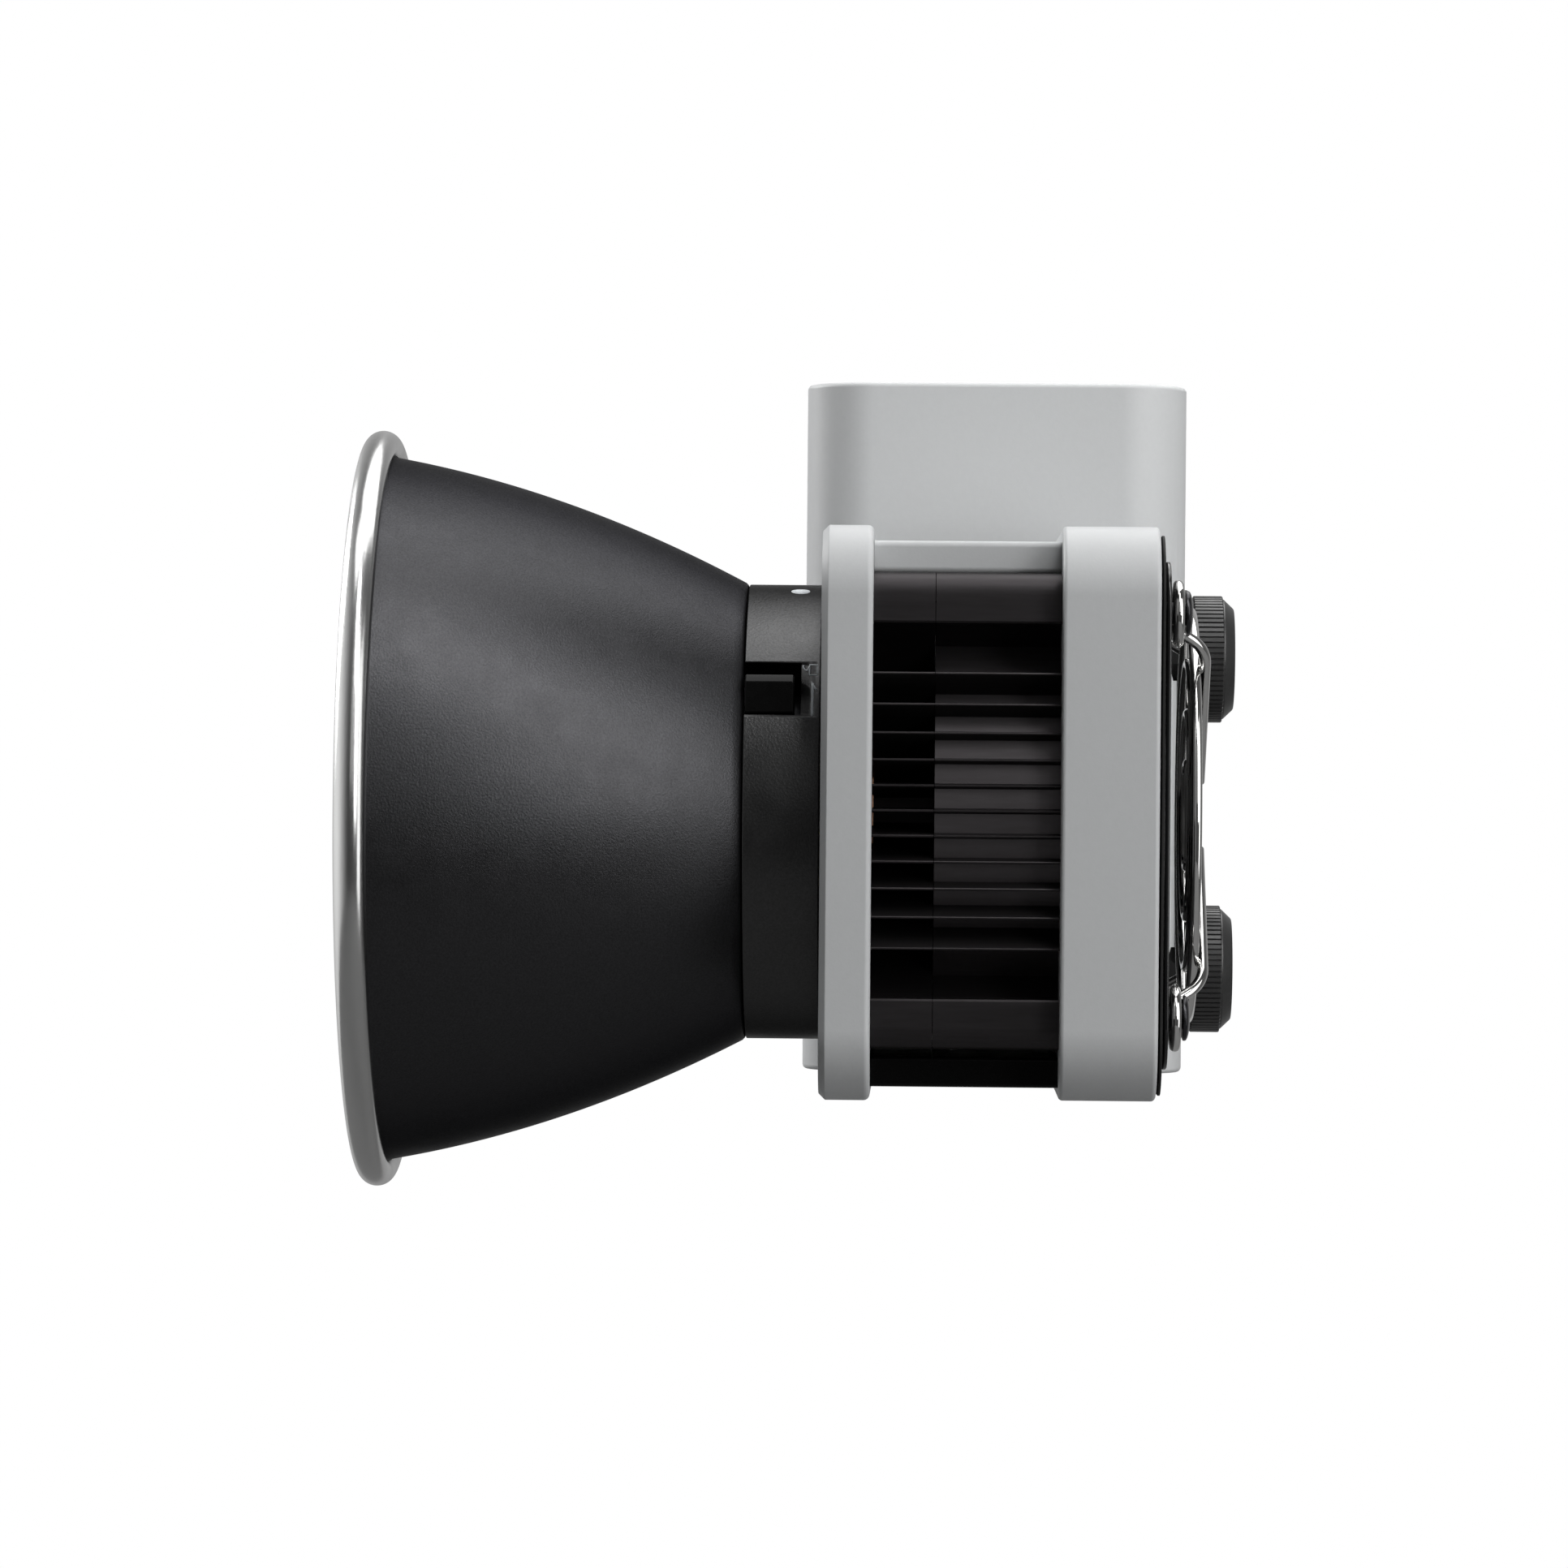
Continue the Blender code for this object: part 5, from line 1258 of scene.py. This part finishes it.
def ribbon(bm, points, width, closed=False):
    """A printed stroke along points (angle, y) on the neck."""
    scale = math.degrees(1.0 / MOUNT_RADIUS)
    ends = points[1:] + points[:1] if closed else points[1:]
    flat = []
    for (arc, y), (next_arc, next_y) in zip(points, ends):
        parts = math.ceil(abs(next_arc - arc)) or 1
        for step in range(parts):
            share = step / parts
            flat.append(Vector(((arc + (next_arc - arc) * share) / scale, y + (next_y - y) * share)))
    if not closed:
        flat.append(Vector((points[-1][0] / scale, points[-1][1])))
    count = len(flat)
    pairs = []
    for number, here in enumerate(flat):
        before = flat[number - 1] if closed or number else here
        after = flat[(number + 1) % count] if closed or number < count - 1 else here
        side = Vector((-(after - before).y, (after - before).x)).normalized() * width / 2
        pair = []
        for spot in (here + side, here - side):
            pair.append(bm.verts.new(on_neck(spot.x * scale, spot.y)))
        pairs.append(pair)
    runs = list(zip(pairs, pairs[1:] + pairs[:1])) if closed else list(zip(pairs, pairs[1:]))
    for first, second in runs:
        bm.faces.new((first[0], second[0], second[1], first[1]))


def patch(bm, points):
    """A printed area bounded by points (angle, y) on the neck, as a fan of faces."""
    count = len(points)
    centre = [sum(values) / count for values in zip(*points)]
    middle = bm.verts.new(on_neck(*centre))
    verts = [bm.verts.new(on_neck(arc, y)) for arc, y in points]
    for number in range(count):
        bm.faces.new((middle, verts[number], verts[(number + 1) % count]))


def thicken(piece):
    """Give a print its ink thickness."""
    modifier = piece.modifiers.new("ink", "SOLIDIFY")
    modifier.thickness = MARK_LIFT * MM * 0.8
    modifier.offset = -1.0
    bake(piece)


def arc_degrees(length):
    return math.degrees(length / MOUNT_RADIUS)


def make_marks(white, grey):
    """The white alignment dot, the lock sign and the turning arrow."""
    angle, y = DOT_PLACE
    bm = bmesh.new()
    points = []
    for step in range(32):
        across, along = polar(DOT_RADIUS, 360.0 * step / 32)
        points.append((angle + arc_degrees(across), y + along))
    patch(bm, points)
    make_mark(bm, "alignment_dot", white)

    bm = bmesh.new()
    left, right = LOCK_Y - LOCK_HALF, LOCK_Y + LOCK_HALF
    first, last = LOCK_ANGLES
    ribbon(bm, [(first, left), (first, right), (last, right), (last, left)], MARK_STROKE, True)
    shackle = []
    for step in range(9):
        across, along = polar(SHACKLE_RADIUS, 180.0 * step / 8)
        arc = last + 0.6 + arc_degrees(across) - arc_degrees(SHACKLE_RADIUS)
        shackle.append((arc, left - 0.3 - along * 0.9))
    ribbon(bm, [(last - 0.6, left)] + shackle[::-1][:6], MARK_STROKE)
    make_mark(bm, "lock_sign", grey)

    bm = bmesh.new()
    ribbon(bm, [(angle, ARROW_Y) for angle in ARROW_ANGLES], MARK_STROKE * 1.6)
    head = ((0.6, -0.2), (-1.8, 0.75), (-2.1, 0.7), (-1.6, 0.1))
    patch(bm, [(ARROW_ANGLES[1] + arc, ARROW_Y + y) for arc, y in head])
    make_mark(bm, "turning_arrow", grey)


def make_mark(bm, name, material):
    """One print on the mount ring."""
    piece = finish_mesh(bm, name, [material], SHARP_ANGLE)
    thicken(piece)
    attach(piece, BODY_OF["mount_ring"])


# Pieces inside the block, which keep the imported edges
INNER_PIECES = {
    "plated_steel": (
        "upper_dial_shaft", "lower_dial_shaft", "dial_encoder_1", "dial_encoder_2", "driver_heat_spreader",
        "block_screw_1", "block_screw_2", "block_screw_3", "block_screw_4",
    ),
    "solder_mask": ("control_board", "driver_board"),
    "black_plastic": ("driver_coil", "power_switch"),
}


# Stage

def aim_at(item, place, target, roll=0.0):
    """Place a camera or a lamp, and turn it to a target."""
    item.location = place
    item.rotation_mode = "QUATERNION"
    turn = Quaternion((0, 0, 1), math.radians(roll))
    item.rotation_quaternion = (Vector(target) - Vector(place)).to_track_quat("-Z", "Y") @ turn


def make_camera():
    data = bpy.data.cameras.new("photo_camera")
    data.lens = CAMERA_FOCAL
    data.sensor_width = SENSOR
    data.dof.use_dof = False
    camera = add_object("photo_camera", data)
    aim_at(camera, CAMERA_PLACE, CAMERA_AIM, CAMERA_ROLL)
    bpy.context.scene.camera = camera


def make_lamp(name, place, size, power):
    """A softbox turned to the lamp head."""
    data = bpy.data.lights.new(name, "AREA")
    data.shape = "RECTANGLE"
    data.size, data.size_y = size
    data.energy = power
    lamp = add_object(name, data)
    aim_at(lamp, place, (0, LAMP_AIM_Y, AXIS_Z * MM))
    lamp.visible_camera = False


def straight_rays(tree):
    """1 for what the camera sees, also through the window glass, and 0 for other rays."""
    path = add_node(tree, "LightPath").outputs
    rays = {0: path["Is Camera Ray"], 1: path["Is Transmission Ray"]}
    return add_node(tree, "Math", rays, operation="MAXIMUM").outputs[0]


def sky_part(tree, sign, weights):
    """Brightness of the reflected studio by direction, for the positive or the negative axes."""
    last = add_node(tree, "TexCoord").outputs["Generated"]
    for operation, value in (("MULTIPLY", (sign,) * 3), ("MAXIMUM", (0, 0, 0)), ("POWER", (2, 2, 2))):
        last = add_node(tree, "VectorMath", {0: last, 1: value}, operation=operation).outputs["Vector"]
    return add_node(tree, "VectorMath", {0: last, 1: weights}, operation="DOT_PRODUCT").outputs["Value"]


def make_world():
    """White background, a studio that metal mirrors brighter on some sides, and a weak fill."""
    world = bpy.data.worlds.new("studio")
    world.use_nodes = True
    tree = world.node_tree
    tree.nodes.clear()
    parts = {0: sky_part(tree, 1.0, SKY_TOWARDS), 1: sky_part(tree, -1.0, SKY_AWAY)}
    sky = add_node(tree, "Math", parts, operation="ADD").outputs[0]
    fill, white, mirrored = [
        add_node(tree, "Background", {"Color": (1, 1, 1, 1), "Strength": strength}).outputs[0]
        for strength in (AMBIENT, 1.0, sky)
    ]
    glossy = add_node(tree, "LightPath").outputs["Is Glossy Ray"]
    around = add_node(tree, "MixShader", {"Fac": glossy, 1: fill, 2: mirrored}).outputs[0]
    seen = add_node(tree, "MixShader", {"Fac": straight_rays(tree), 1: around, 2: white}).outputs[0]
    add_node(tree, "OutputWorld", {"Surface": seen})
    bpy.context.scene.world = world


def make_floor():
    """Pale round floor below the lamp, which keeps the shadow."""
    material, tree, shader = start_material("pale_floor", FLOOR_TONE, 0.9, 0.0, 0.1)
    share = add_node(tree, "Math", {0: straight_rays(tree), 1: FLOOR_GLOW}, operation="MULTIPLY").outputs[0]
    glow = add_node(tree, "Emission").outputs[0]
    mix = add_node(tree, "MixShader", {"Fac": share, 1: shader.outputs["BSDF"], 2: glow})
    tree.links.new(mix.outputs[0], tree.nodes["Material Output"].inputs["Surface"])
    bm = bmesh.new()
    bmesh.ops.create_circle(bm, cap_ends=True, segments=96, radius=FLOOR_RADIUS / MM)
    floor = finish_mesh(moved(bm, z=cad_box[0].z / MM - FLOOR_DROP / MM), "floor", [material])


def main():
    make_camera()
    coats = {name: coated(name, *values) for name, values in COATS.items()}
    grey, plastic, steel = coats["grey_paint"], coats["black_plastic"], coats["plated_steel"]
    make_bowl(coats["black_coat"], coats["bright_rim"], make_satin_silver())
    make_front_frame(grey)
    make_rear_frame(grey)
    make_top_plate(grey)
    make_heat_sink(coats["black_anodised"], coats["duct_wall_painted_light"])
    # The bottom plate takes the darkest black as painted shade under the corner bars.
    dress("bottom_plate", coats["deep_black_and_painted_shade"])
    make_mount_ring(coats["neck_coat"])
    dress("lock_lever", coats["deep_black_and_painted_shade"], 0.2)
    make_sheet("front_backplate", 6.0, 0.1, LIGHT_BORE, plastic, 2.0, -0.55)
    make_sheet("rear_gasket", 10.0, 0.1, FAN_OPENING, coats["rubber_sheet"])
    make_sheet("fan_bezel", 8.0, 0.3, FAN_OPENING, coats["gloss_black"])
    make_window(make_clear_glass(), plastic)
    make_light_source(plastic, coats["bare_copper"], coats["phosphor_gel"])
    make_collar(coats["black_steel"])
    make_fan(plastic)
    # Case and cover take the lightened grey, which is painted light on the block.
    make_case(coats["block_grey_painted_light"])
    make_cover(coats["block_grey_painted_light"])
    make_panel(plastic)
    make_button(plastic)
    for node in DIAL_NODES:
        make_dial(node, coats["dial_black"])
    make_guard(coats["chrome_plate"])
    for base in SCREWS:
        make_screws(base, coats["black_steel"] if base == "tie_screw" else steel)
    for node in ("reflector_rivet_1", "reflector_rivet_2", "reflector_rivet_3", "tripod_bush"):
        dress(node, steel)
    dress("power_inlet", plastic)
    dress("cob_substrate", coats["white_ceramic"])
    dress("display_window", coats["display_glass"])
    for coat, nodes in INNER_PIECES.items():
        for node in nodes:
            dress(node, coats[coat], 0)
    make_marks(coats["white_print"], coats["pad_print"])
    make_world()
    make_floor()
    for name, (place, size, power) in LAMPS.items():
        make_lamp(name, place, size, power)
    bpy.context.scene.view_settings.view_transform = "Standard"


main()
